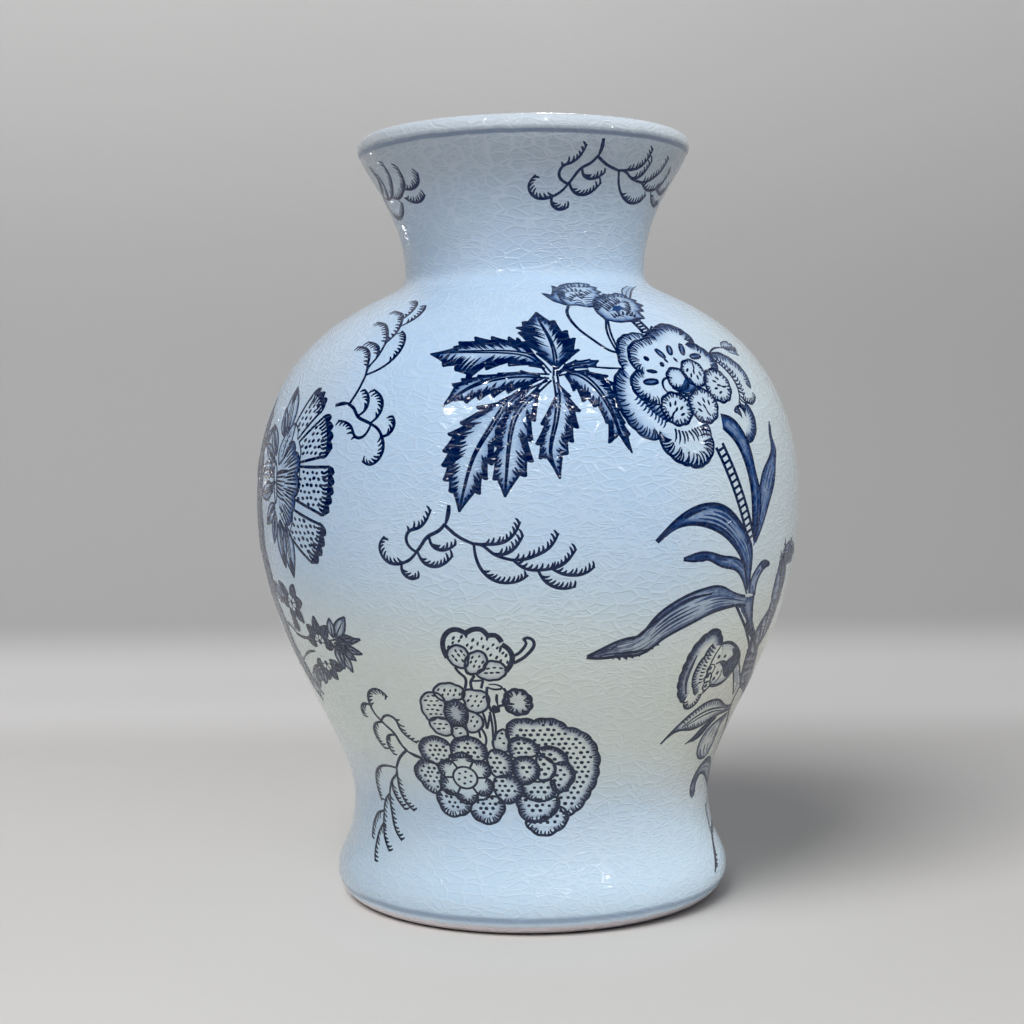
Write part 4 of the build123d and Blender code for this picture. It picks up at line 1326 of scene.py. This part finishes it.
def stamens(ink):
    """Eye of the carnation, and the threads that leave it to both sides."""
    eye = [(-8.4, 7), (-6.4, 3.5), (-6, -1), (-5.2, -6), (-6.2, -9), (-7.6, -5), (-8.6, 0), (-9.2, 4)]
    ink.stroke(smooth(eye + eye[:1], 0.9), 0.9, (1, 1), curved=False)
    ink.dots([(-8.6, -0.6), (-7.4, -1.2)], 1.6)
    for v, far in (
            (3.2, 9), (2.4, 2.6), (1.0, 1.6), (-0.6, 1.6), (-2.0, 1.0), (-3.4, 1.6), (-5.0, 1.2),
            (-6.6, 3)):
        ink.stroke([(-6, v * 0.75), (-3, v), (far - 2, v * 1.15), (far, v * 1.25 + 0.2)], 0.85, (1, 0.5))
    for v, far in ((4.4, -16), (2.6, -20), (1.2, -22), (-1.8, -20), (-3.2, -17), (-5.6, -18), (-7.4, -15)):
        ink.stroke([(-8.8, v * 0.6), (-12, v * 0.8), (far, v * 1.15)], 0.75, (1, 0.4))


def collar(ink):
    """The dotted oval petal and the washed ruffle between the eye of the carnation and its fans."""
    oval = smooth([(-5, 5.5), (-6.4, 10), (-4, 15.5), (0, 19.6), (3, 21.2), (3.6, 17), (2.8, 12.5),
                   (-1, 8)], 0.9)
    ink.wash(oval, 0.12, 0.3)
    ink.stroke(np.vstack([oval, oval[:1]]), 0.9, (1, 1), curved=False)
    ink.stipple(oval, 2.2, 1.4, 0.8)
    ruffle = [(1.5, 13), (4.4, 14.2), (6.6, 12.6), (7.2, 10.2), (10.6, 8.4), (11.6, 5), (9.8, 2),
              (12, -0.6), (12, -3.8), (9, -6), (9.4, -9.4), (7, -12), (6.4, -15.4), (3.4, -16.6)]
    petal(ink, ruffle, 0, -1, 0.16, shading=0.6, fade=6, width=1.1)
    ink.wash(np.vstack([scallops(ruffle, 0.16), [(-3.6, -9.5), (-3.4, 7)]]), 0.1, 0.3)
    for k, (u, v) in enumerate(smooth(ruffle, 2.0)):
        start = np.array([-3.0, v * 0.42 - 0.4])
        edge = np.array([u, v])
        ink.stroke([start + (edge - start) * (0.25 + 0.2 * (k % 2)), start + (edge - start) * 0.93], 0.95,
                   (0.4, 0.9))
    ink.stroke([(-2.4, 9), (-1, 14), (1.5, 18)], 0.9)
    for v in (-12, -14.4, -16.8):
        ink.stroke([(-4 - v * 0.1, v + 2), (0, v - 0.6), (3.6, v - 4.4)], 1.0, (0.6, 0.5))


def carnation():
    """A side-on flower like a carnation, with fans on one side and pointed petals on the other."""
    ink = Ink(71)
    fans(ink)
    stamens(ink)
    collar(ink)
    return ink


def star(ink, centre, tips):
    """A small star blossom: a disc with a dark spot, and points that are dark at their tips."""
    centre = np.asarray(centre, float)
    for tip in tips:
        tip = np.asarray(tip, float)
        way = (tip - centre) / np.linalg.norm(tip - centre)
        side = np.array([-way[1], way[0]])
        root = centre + way * STAR_RADIUS * 0.85
        wide = root + (tip - root) * 0.45
        point = smooth([root + side * 1.7, wide + side * 2.2, tip], 0.8)
        other = smooth([root - side * 1.7, wide - side * 2.2, tip], 0.8)
        ink.wash(np.vstack([point, other[::-1][1:]]), 0.3, 0.9, reach=1.2)
        ink.stroke(point, 1.1, (0.8, 0.8), curved=False)
        ink.stroke(other, 1.1, (0.8, 0.8), curved=False)
        ink.stroke([root + way * 0.5, tip - way * 0.4], 1.7, (0.3, 0.5))
        ink.stroke([centre + way * 1.4, centre + way * STAR_RADIUS], 0.6, (0.5, 0.8), 0.7)
    ink.dot(centre, 2.6)


def star_spray():
    """Three star blossoms, a burst of small pointed leaves, and the leafy stem at the turn of the vase."""
    ink = Ink(73)
    star(ink, (-17, 12.5), [(-26, 20.5), (-11.4, 20), (-8, 13.4), (-10.6, 5), (-20, 5.4), (-26, 13)])
    star(ink, (-3, -2), [(-2, 8.5), (5, 5), (5.5, -3), (-9.4, 4.4), (-12, -2)])
    star(ink, (-4.5, -11), [(-8, -18.4), (-0.5, -17.6), (6, -12), (-12, -12.6)])
    for root, tip, width in (
            ((6.6, 0.5), (8, 8.4), 4), ((8, 0.5), (17, 9.5), 4.6), ((10, 0), (18.4, 1.2), 2.8),
            ((6, -2), (21.6, 1.0), 2.4), ((10, -2.6), (20, -5), 2.8), ((9, -3), (15.6, -8), 3.6),
            ((8.5, -3.4), (11, -13.4), 4.4), ((6.6, -3), (6.8, -12.4), 4.4)):
        sepal(ink, root, tip, width, 0.15, 0.55, 1, False)
    ink.stroke([(3, -3.6), (9, -2.8), (15, -2.6)], 1.1)
    ink.stroke([(4, -1), (9, 0), (14, -0.4)], 0.9)
    ink.stroke([(-22, -0.5), (-16, -1.4), (-10, -1.2)], 1.4, (1, 1))
    ink.wash(smooth([(-21, 6), (-17.6, 5.4), (-16.4, 1.6), (-19.4, 0.6), (-22, 2)], 0.8), 0.9)
    for v in (5.4, 3.6, 1.8):
        ink.stroke([(-22, v), (-19, v + 0.4), (-16.6, v - 0.4)], 0.9)
    ink.stroke([(-10, -6.6), (-16, -7.6), (-24, -11)], 1.2)
    ink.stroke([(-9.5, -13), (-14, -13.4), (-22, -18)], 1.4)
    for root, tip, width in (((-10, -14), (-12.5, -21), 5), ((-13, -14), (-18.4, -20.6), 5),
                             ((-16, -15), (-23, -25), 5), ((-26, 12), (-34, 20), 6)):
        sepal(ink, root, tip, width, 0.15, 0.55, 2)
    ink.stroke([(-22, 0), (-28, 3), (-34, 2), (-44, -2)], 1.6, (0.9, 0.9))
    ink.stroke([(-24, -11), (-32, -14), (-42, -16)], 1.4, (0.9, 0.9))
    return ink


def free_side(outline, heart):
    """The part of a closed clockwise outline that faces away from a blossom's heart."""
    ahead = np.roll(outline, -1, axis=0) - np.roll(outline, 1, axis=0)
    outward = leftward(ahead) / np.linalg.norm(ahead, axis=1)[:, None]
    away = outline - heart
    away /= np.linalg.norm(away, axis=1)[:, None]
    facing = (outward * away).sum(1)
    order = np.roll(np.arange(len(outline)), -int(np.argmin(facing)))
    return outline[[k for k in order if facing[k] > 0.15]]


def cell(ink, cusps, pitch=2.3, size=1.35, long=1.0, margin=1.3, shading=0.36, depth=0.0, tilt=0.0,
         heart=None):
    """A closed petal of a clustered blossom: scalloped, with rows of spots and a comb on its free side."""
    outline = scallops(clockwise(cusps), 0.14, closed=True)[:-1]
    ink.wash(outline, 0.0, shading, reach=1.3)
    ink.stroke(np.vstack([outline, outline[:1]]), 1.0, (1, 1), step=0.7, curved=False)
    spotted = outline
    if depth:
        free = free_side(outline, np.asarray(heart, float))
        ink.comb(free, depth, 1.5, 88, -1, 0.85, curved=False)
        ink.shade(free, depth * 1.9, 0.66, -1, curved=False)
        spotted = outline + (np.asarray(heart, float) - outline.mean(0)) * 0.08
    spots = lattice(spotted, pitch, margin)
    if depth and len(spots):
        spots = spots[[np.linalg.norm(free - spot, axis=1).min() > depth + 0.5 for spot in spots]]
    for u, v in spots:
        ink.dots([(u + ink.chance.uniform(-0.25, 0.25), v + ink.chance.uniform(-0.25, 0.25))], size, long,
                 tilt)


def clockwise(points):
    """The points in clockwise order, as the petals expect."""
    points = [tuple(map(float, p)) for p in points]
    area = sum(a[0] * b[1] - b[0] * a[1] for a, b in zip(points, points[1:] + points[:1]))
    return points if area < 0 else points[::-1]


def nodding_head(ink):
    """The topmost blossom of the cluster: a heavy lobed outline, rows of spots and three dotted petals."""
    for bump in (
            [(-8.9, 40.5), (-10, 44.4), (-9.7, 47.6), (-8, 50.4), (-4.6, 51.8), (-1.2, 50.4)],
            [(-1.2, 50.4), (1.4, 51.8), (4.8, 51.7), (6.6, 49.6)], [(6.6, 49.6), (9.6, 49.5), (11.3, 47)],
            [(11.3, 46.2), (13.4, 44.4), (14.5, 41.6), (13.8, 38.4), (11.6, 35.4)]):
        ink.stroke(smooth(bump, 0.7), 1.9, (1, 1), curved=False)
    ink.stroke([(-1.2, 50.6), (-1.0, 48.6)], 1.2)
    ink.stroke([(6.6, 50), (6.2, 47.6)], 1.1)
    ink.stroke([(11, 45.6), (10.2, 43)], 1.0)
    for row in ([(-8, 45), (-6.2, 46.6), (-5.8, 48.4), (-3.8, 47.4), (-2.8, 49)],
                [(-1, 45.8), (0.4, 44.8), (1.2, 47.8), (2.8, 46.4), (4.4, 48.4), (4.6, 45.2)],
                [(6.2, 44.4), (8.2, 46), (9.6, 44.8), (7, 42), (9, 41), (11.4, 42.8), (12.4, 41.8)],
                [(10.2, 39.6), (12.6, 39.2)]):
        ink.dots(row, 1.0, 1.9, 60)
    cell(ink,
         [(-8.8, 42), (-6.6, 45.2), (-3.6, 45.4), (-1.4, 43.4), (-1.4, 39.8), (-2.6, 36.8), (-5.6, 37.2),
          (-8, 39.4)], 2.2, 0.95, 1.9, 1.2, tilt=-60)
    cell(ink, [(-2.5, 38.6), (-1.2, 41.4), (1, 43), (3.6, 43.4), (5.4, 41), (4.8, 37.8), (2.8, 35.4),
               (0.4, 34.4), (-2, 34.8)], 2.2, 0.95, 1.9, 1.2, tilt=60)
    cell(ink, [(5.6, 39.2), (8.4, 39.4), (11, 38.2), (11.8, 35.4), (10.2, 33.2), (7, 32), (3.6, 32.4),
               (1.2, 34.2), (4, 36.4)], 2.2, 0.95, 2.0, 1.2, tilt=5)
    ink.stroke([(-6.4, 37), (-5, 34.6), (-3.4, 33), (-3.8, 28)], 1.1, (1, 1))
    ink.stroke([(-2.4, 36.4), (-2.2, 34.6), (0.2, 33.6), (-0.8, 32), (-1.2, 28)], 1.1, (1, 1))
    ink.stroke([(-1, 31.4), (2, 31.6), (4, 32)], 0.9)
    ink.stroke([(3.2, 31.6), (2.2, 28.4)], 1.0, (1, 1))


def hook(ink):
    """The hooked stem at the right of the topmost blossom."""
    ink.stroke([(14.6, 41.4), (17, 42.8), (19, 45), (19.8, 47), (19, 48)], 1.1, (1, 0.9))
    ink.stroke([(14.8, 38.8), (18, 40.6), (21, 43.4), (22.6, 46.4), (21.8, 48.2), (20, 48.6), (18.8, 47.8)],
               1.2, (1, 1))


def small_flower(ink):
    """The flower at the left of the cluster: six dotted petals round a combed heart."""
    heart = smooth([(-8.4, 23.2), (-5, 21), (-4, 17), (-5.6, 12.8), (-8.6, 11.8), (-11.6, 13.6),
                    (-12.8, 17.6), (-11.6, 21.4), (-8.4, 23.2)], 0.7)
    ink.wash(heart[:-1], 0.25, 0.6)
    ink.stroke(heart, 0.9, (1, 1), curved=False)
    ink.comb(heart, 2.6, 1.3, 90, -1, 0.8, curved=False)
    for shape, tilt in (
            ([(-12, 22.4), (-16, 26), (-14.5, 28.6), (-11, 30), (-7, 29.4), (-4.6, 28), (-4.6, 24.4),
              (-8.4, 23.4)], 60),
            ([(-12.2, 21.8), (-13, 24.6), (-16.4, 26), (-20.4, 24.4), (-21.7, 20), (-20.4, 15.4),
              (-19.4, 13.6), (-16, 15.4), (-12.8, 14.8), (-13, 18)], 0),
            ([(-12.4, 14.4), (-16, 15.2), (-19.4, 13.4), (-18.4, 10), (-15.4, 7.6), (-11.4, 8),
              (-11, 11.4)], 10),
            ([(-11, 8), (-10.4, 11.4), (-8.4, 11.8), (-6, 11.4), (-5.4, 7), (-8.4, 5.4)], 30),
            ([(-4, 18.6), (-0.6, 17.4), (1.2, 14.4), (0, 11), (-4, 9.2), (-5.2, 11), (-4.6, 14)], 60),
            ([(-4.6, 27), (0, 27.4), (4, 26), (4, 21.6), (1, 18.2), (-3.6, 19), (-4.4, 22.4)], 55)):
        cell(ink, shape, 2.2, 1.0, 1.8, 1.2, tilt=tilt)


def bud_and_stems(ink):
    """The calyx, the round bud beside it, the stems under them and a lone dotted petal."""
    ink.stroke([(4.4, 29), (3.8, 25), (4.2, 21), (5, 18.6), (8, 21), (10.6, 21.6), (11.4, 25),
                (10.2, 28.6)], 1.1, (1, 1))
    ink.stroke([(4.4, 29), (7, 28), (9.8, 28.8), (8.4, 29.8), (5, 30)], 0.9)
    ink.stroke([(7.6, 26), (7.2, 23), (7.4, 21.2)], 1.1)
    ink.wash(ring((6.4, 19.6), 1.6, 5), 0.9)
    bud = ring((14.6, 22.6), 4.6, 9, 0.25, 1.12)
    ink.wash(bud, 0.1, 0.6, reach=1.0)
    ink.stroke(bud, 1.2, (1, 1), curved=False)
    ink.comb(bud, 2.4, 1.6, 90, -1, 0.9, curved=False)
    ink.stroke([(10.8, 22), (13.4, 21.8)], 1.2)
    for path in (
            [(4.2, 18.4), (4.4, 12), (3.8, 4)], [(5.4, 18.4), (5.6, 12), (4.6, 6)],
            [(1.6, 18), (2.2, 14), (2.2, 11)], [(4, 17), (3, 13), (2.4, 11)],
            [(0, 11.6), (1.4, 8), (1, 4), (0, 2)], [(-0.8, 10.6), (-0.6, 7)]):
        ink.stroke(path, 0.9, (1, 0.9))
    cell(ink, [(4, 2.4), (4.8, 7.4), (8.4, 11), (9.6, 6), (8.6, 1), (6, 1.6)], 2.6, 1.2, 1.1, 1.4)


def left_rosette(ink):
    """A dotted disc with six shaded petals, in a ring of large dotted ones."""
    middle = np.array([-8.5, -11.0])
    disc = ring(middle, 4.7, 16, 0.05)
    ink.stroke(disc, 0.9, (1, 1), curved=False)
    ink.dots([middle] + [middle + turned([(2.6, 0)], 60 * k + 20)[0] for k in range(6)], 1.15, 1.2, 20)
    for k in range(6):
        a = 60 * k + 2
        shape = [middle + turned([(r, 0)], a + t)[0] for r, t in
                 ((5.0, 3), (8.2, 2), (10.3, 14), (11.0, 30), (10.3, 46), (8.2, 58), (5.0, 57))]
        edge = scallops(clockwise(shape[1:-1]), 0.14)
        ink.shade(edge, 3.6, 0.6, -1, curved=False)
        ink.stroke(turned([(4.8, 0), (8.6, 0)], 60 * k + 2) + middle, 0.9, (1, 1))
        ink.stroke(edge, 1.0, (1, 1), curved=False)
        ink.comb(edge, 2.2, 1.35, 88, -1, 0.75, curved=False)
    for shape in (
            [(-13, -1.6), (-12.8, 3), (-16, 6), (-21, 6), (-25, 3), (-25.4, -1), (-23.5, -4),
             (-18.6, -5.6)],
            [(-23.5, -4.2), (-28, -6.8), (-29.6, -10), (-27, -14.5), (-23.5, -18), (-20, -18.4), (-19, -14),
             (-18.8, -7)],
            [(-20.6, -18.4), (-20, -23), (-16.5, -27), (-12, -26.7), (-8, -24.6), (-7.2, -22.4),
             (-12, -20.4), (-17.4, -17)],
            [(-7, -22.4), (-7, -26), (-3.5, -28.6), (1, -29), (4, -26), (5.4, -22), (3, -18.6), (-2, -20)],
            [(2.8, -17.8), (5.6, -21), (9, -20.6), (12.4, -16.6), (11.6, -12), (9.4, -10), (3, -10.6)],
            [(1.4, -0.6), (4, 2), (8, 0), (9.8, -4), (9, -9), (3, -10), (1.6, -6)],
            [(-12, -1.6), (-11.6, 4.4), (-8, 6.8), (-4, 7), (-0.5, 4.5), (1, 1), (-1.4, -3.6),
             (-6.4, -1.4)]):
        cell(ink, shape, 2.3, 1.5, 1.1, 1.0, 0.2, 2.1, heart=middle)


def right_rosette(ink):
    """Large dotted petals that wrap round one another, each with the depth of its comb."""
    for shape, depth in (
            ([(9.5, 11), (11, 14), (15, 15.2), (19.5, 14.4), (24, 15.2), (28, 14.2), (31, 11), (36, 9),
              (39.6, 5), (41.2, 0), (41, -7), (40, -12), (37.5, -17), (35, -21), (31, -25), (28.5, -26.4),
              (25.6, -23), (25.4, -17.6), (29, -16.6), (32, -10.4), (31, -6), (30, -1), (26, 2.8), (20, 3),
              (18.5, 5.6), (14, 7.4), (10, 5.6)], 2.2),
            ([(9.6, 5), (11, 6.8), (15, 7), (18.5, 5), (19.8, 2), (18.8, -0.6), (15, -1), (10.4, -1.6)],
             1.7),
            ([(19.8, 1.4), (22, 3), (26, 2.3), (29, -0.5), (29.8, -4.4), (25.4, -4.6), (22, -1.4)], 1.8),
            ([(25.4, -4.8), (29, -4.2), (31.4, -7), (32, -10), (30, -14), (27, -16.6), (25, -17.2),
              (23, -12), (25.2, -8)], 2.0),
            ([(19, -1.2), (22, -1.6), (24.5, -4), (25, -8), (23, -11), (20, -12), (18.4, -10), (19.4, -6)],
             0.9),
            ([(11.4, -2), (15, -1.4), (18.4, -4), (19.2, -8), (17, -11.5), (13, -13.4), (10.6, -10),
              (10.2, -6)], 2.0),
            ([(12.6, -13.8), (13, -17), (16, -19.8), (20, -20.2), (24, -18), (24.4, -14), (23.2, -11.6),
              (19, -12.4)], 1.7),
            ([(10.4, -18), (10.6, -23), (12.5, -27.3), (17, -28.4), (22, -26.4), (25, -23), (25, -19),
              (20, -20.6), (15, -19.8)], 2.2),
            ([(12.8, -28.2), (15, -31.4), (19.5, -33.4), (24, -32), (28, -28.4), (28.4, -25.8),
              (25.4, -22.6), (22, -26.8), (17, -28.6)], 1.9)):
        cell(ink, shape, 2.45, 1.6, 1.1, 1.0, 0.2, depth, heart=(15, -7))


def cluster():
    """Five blossoms grown together: a nodding head, a small flower, a bud and two combed rosettes."""
    ink = Ink(79)
    nodding_head(ink)
    hook(ink)
    small_flower(ink)
    bud_and_stems(ink)
    left_rosette(ink)
    right_rosette(ink)
    return ink


def decorate():
    """Lays every sprig on the vase by turn, height and tilt. The front is repeated half a turn round."""
    for side, start in (("front", 0.0), ("back", 180.0)):
        fern().lay(f"print_fern_{side}", start - 15.0, 152.5)
        lobed_leaf().lay(f"print_lobed_leaf_{side}", start + 6.0, 203.3)
        peony().lay(f"print_peony_{side}", start + 35.8, 198.3)
        buds().lay(f"print_buds_{side}", start + 22.0, 231.9)
        blades().lay(f"print_blades_{side}", start + 50.0, 130.8)
        branch().lay(f"print_branch_{side}", start + 68.0, 118.9)
        side_blossom().lay(f"print_side_blossom_{side}", start + 43.8, 97.2)
        foot_sprig().lay(f"print_foot_sprig_{side}", start + 60.0, 54.8)
        far_branch().lay(f"print_far_branch_{side}", start - 72.5, 128.0)
        carnation().lay(f"print_carnation_{side}", start - 57.0, 167.6)
        star_spray().lay(f"print_stars_{side}", start - 50.0, 109.4)
        cluster().lay(f"print_cluster_{side}", start - 12.0, 68.5)
        fern().lay(f"print_neck_fern_{side}", start + 27.6, 285.2, 9.5)
        fern().lay(f"print_shoulder_fern_{side}", start - 38.6, 195.5, 106.5)
        fern().lay(f"print_foot_fern_{side}", start - 35.0, 67.0, -100.0)
    fern().lay("print_neck_fern_left", -94.5, 279.0, 20.0)


# ------------------------------------------------------------------ studio

# Backdrop sweep, in metres
SWEEP_HALF_WIDTH = 3.2
SWEEP_FRONT, SWEEP_BACK, SWEEP_TOP = -2.2, 1.15, 2.6
SWEEP_BEND = 0.60

# Lamps mirrored in the glaze as a row of glints: azimuths in degrees, distance in front and rise per metre
ROW_AZIMUTHS = (-35, -25, -10, 2.5, 16, 30)
ROW_DEPTH = 1.0
ROW_RISE = 0.854
BULB_AIM_Z = 0.19

# Sky: dim on the left, and dimmer still where the glaze mirrors it
SKY_LEFT, SKY_RIGHT = (0.30, 0.30, 0.35, 1), (0.56, 0.57, 0.60, 1)
SKY_STRENGTH, SKY_STRENGTH_MIRRORED = 0.44, 0.16

# Camera: place in metres, turns in degrees
CAMERA_PLACE = (0, -0.700, 0.1854)
CAMERA_HEADING, CAMERA_PITCH, CAMERA_ROLL = 0.515, -2.75, -0.746
CAMERA_LENS = 61.05
BLACK_LEVEL = (0.008, 0.006, 0.002)


def sweep():
    """Floor that rises in one long curve into the backdrop."""
    corner = np.radians(np.linspace(0, 90, 33))
    rise = SWEEP_BACK - SWEEP_BEND
    curve = [(SWEEP_FRONT, 0.0)]
    curve += [(rise + SWEEP_BEND * math.sin(a), SWEEP_BEND - SWEEP_BEND * math.cos(a)) for a in corner]
    curve.append((SWEEP_BACK, SWEEP_TOP))
    points = [(x, y, z) for y, z in curve for x in (-SWEEP_HALF_WIDTH, SWEEP_HALF_WIDTH)]
    faces = [(2 * i, 2 * i + 1, 2 * i + 3, 2 * i + 2) for i in range(len(curve) - 1)]
    cloth = new_object("sweep", points, faces, sweep_material())
    cloth.data.shade_smooth()
    return cloth


def soft_light(cloth, reach, name, place, target, size, power, colour):
    """Large lamp, not mirrored in the glaze. It lights the cloth alone (INCLUDE) or all else (EXCLUDE)."""
    lamp = bpy.data.lights.new(name, "AREA")
    lamp.shape = "RECTANGLE"
    lamp.size, lamp.size_y = size
    lamp.energy = power
    lamp.color = colour
    thing = bpy.data.objects.new(name, lamp)
    thing.location = place
    thing.rotation_euler = (Vector(target) - Vector(place)).to_track_quat("-Z", "Y").to_euler()
    thing.visible_glossy = False
    lit = bpy.data.collections.new(name + "_reach")
    lit.objects.link(cloth)
    lit.collection_objects[0].light_linking.link_state = reach
    thing.light_linking.receiver_collection = lit
    bpy.context.scene.collection.objects.link(thing)


def bulb(name, azimuth, elevation, distance, radius, power):
    """Small lamp that only shows as a glint, by its direction: azimuth runs from the front towards +X."""
    a, e = math.radians(azimuth), math.radians(elevation)
    lamp = bpy.data.lights.new(name, "POINT")
    lamp.shadow_soft_size = radius
    lamp.energy = power
    thing = bpy.data.objects.new(name, lamp)
    level = distance * math.cos(e)
    thing.location = (level * math.sin(a), -level * math.cos(a), BULB_AIM_Z + distance * math.sin(e))
    thing.visible_diffuse = False
    bpy.context.scene.collection.objects.link(thing)


def lights(cloth):
    """A soft lamp for the sweep, whose shadow falls to the right, softer ones for the vase, and glints."""
    soft_light(cloth, "INCLUDE", "key", (-0.78, -1.25, 1.75), (0.1, 0.2, 0), (1.15, 1.15), 48,
               (1, 0.99, 0.98))
    for name, place, aim_z, size, power, colour in (
            ("front", (0.32, -1.2, 1.75), 0.15, (0.9, 0.8), 30, (0.94, 0.99, 1.05)),
            ("top", (0.0, 0.2, 2.2), 0.1, (1.4, 1.2), 3.6, (0.93, 0.98, 1.07)),
            ("side", (1.5, 0.2, 0.7), 0.15, (0.6, 0.8), 3.6, (1.0, 0.97, 0.84)),
            ("low_left", (-1.2, -0.6, 0.12), 0.1, (0.7, 0.3), 1.8, (1.0, 1.0, 1.0))):
        soft_light(cloth, "EXCLUDE", name, place, (0, 0, aim_z), size, power, colour)
    for k, azimuth in enumerate(ROW_AZIMUTHS):
        across = ROW_DEPTH * math.tan(math.radians(azimuth))
        distance = math.hypot(across, ROW_DEPTH, ROW_RISE * ROW_DEPTH)
        elevation = math.degrees(math.asin(ROW_RISE * ROW_DEPTH / distance))
        bulb(f"row_{k}", azimuth, elevation, distance, 0.028, 5.0)
    for name, azimuth, elevation, distance, radius, power in (
            ("right_front", 47, 20, 1.3, 0.022, 2.0), ("right", 80, 21, 1.3, 0.03, 2.5),
            ("left_back", -137, 0, 1.1, 0.02, 0.25), ("back", 178, 26, 1.1, 0.03, 1.0)):
        bulb(name, azimuth, elevation, distance, radius, power)


def sky():
    """Even surroundings that brighten towards the right."""
    world = bpy.data.worlds.new("surroundings")
    world.use_nodes = True
    bpy.context.scene.world = world
    tree = world.node_tree
    background = tree.nodes["Background"]
    place = tree.nodes.new("ShaderNodeTexCoord")
    axes = tree.nodes.new("ShaderNodeSeparateXYZ")
    tree.links.new(place.outputs["Generated"], axes.inputs[0])
    ramp = tree.nodes.new("ShaderNodeMapRange")
    ramp.inputs["From Min"].default_value = -0.9
    ramp.inputs["From Max"].default_value = 0.5
    tree.links.new(axes.outputs["X"], ramp.inputs["Value"])
    mix = tree.nodes.new("ShaderNodeMix")
    mix.data_type = "RGBA"
    mix.inputs["A"].default_value = SKY_LEFT
    mix.inputs["B"].default_value = SKY_RIGHT
    tree.links.new(ramp.outputs[0], mix.inputs["Factor"])
    tree.links.new(mix.outputs["Result"], background.inputs["Color"])
    ray = tree.nodes.new("ShaderNodeLightPath")
    strength = tree.nodes.new("ShaderNodeMapRange")
    strength.inputs["To Min"].default_value = SKY_STRENGTH
    strength.inputs["To Max"].default_value = SKY_STRENGTH_MIRRORED
    tree.links.new(ray.outputs["Is Glossy Ray"], strength.inputs["Value"])
    tree.links.new(strength.outputs[0], background.inputs["Strength"])


def camera():
    """At the height of the vase's shoulder, tipped down a little."""
    lens = bpy.data.cameras.new("camera")
    lens.sensor_width = 36.0
    lens.lens = CAMERA_LENS
    thing = bpy.data.objects.new("camera", lens)
    heading_turn = Euler((0, 0, math.radians(CAMERA_HEADING))).to_matrix().to_4x4()
    pitch_turn = Euler((math.radians(90 + CAMERA_PITCH), 0, 0)).to_matrix().to_4x4()
    roll_turn = Euler((0, 0, math.radians(CAMERA_ROLL))).to_matrix().to_4x4()
    thing.matrix_world = Matrix.Translation(CAMERA_PLACE) @ heading_turn @ pitch_turn @ roll_turn
    bpy.context.scene.collection.objects.link(thing)
    bpy.context.scene.camera = thing


# ------------------------------------------------------------------ assembly

coat = glaze_coat(GLAZE)
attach(coat, "root")
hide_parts("outer_glaze")

for name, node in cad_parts.items():
    if not node.hide_render:
        node.data.materials[0] = GLAZE if "glaze" in name else SLIP if "lute" in name else BISCUIT

decorate()
lights(sweep())
sky()
camera()

view = bpy.context.scene.view_settings
view.view_transform = "Standard"
view.look = "None"
view.exposure = 0.0
view.use_curve_mapping = True
view.curve_mapping.black_level = BLACK_LEVEL
view.curve_mapping.update()
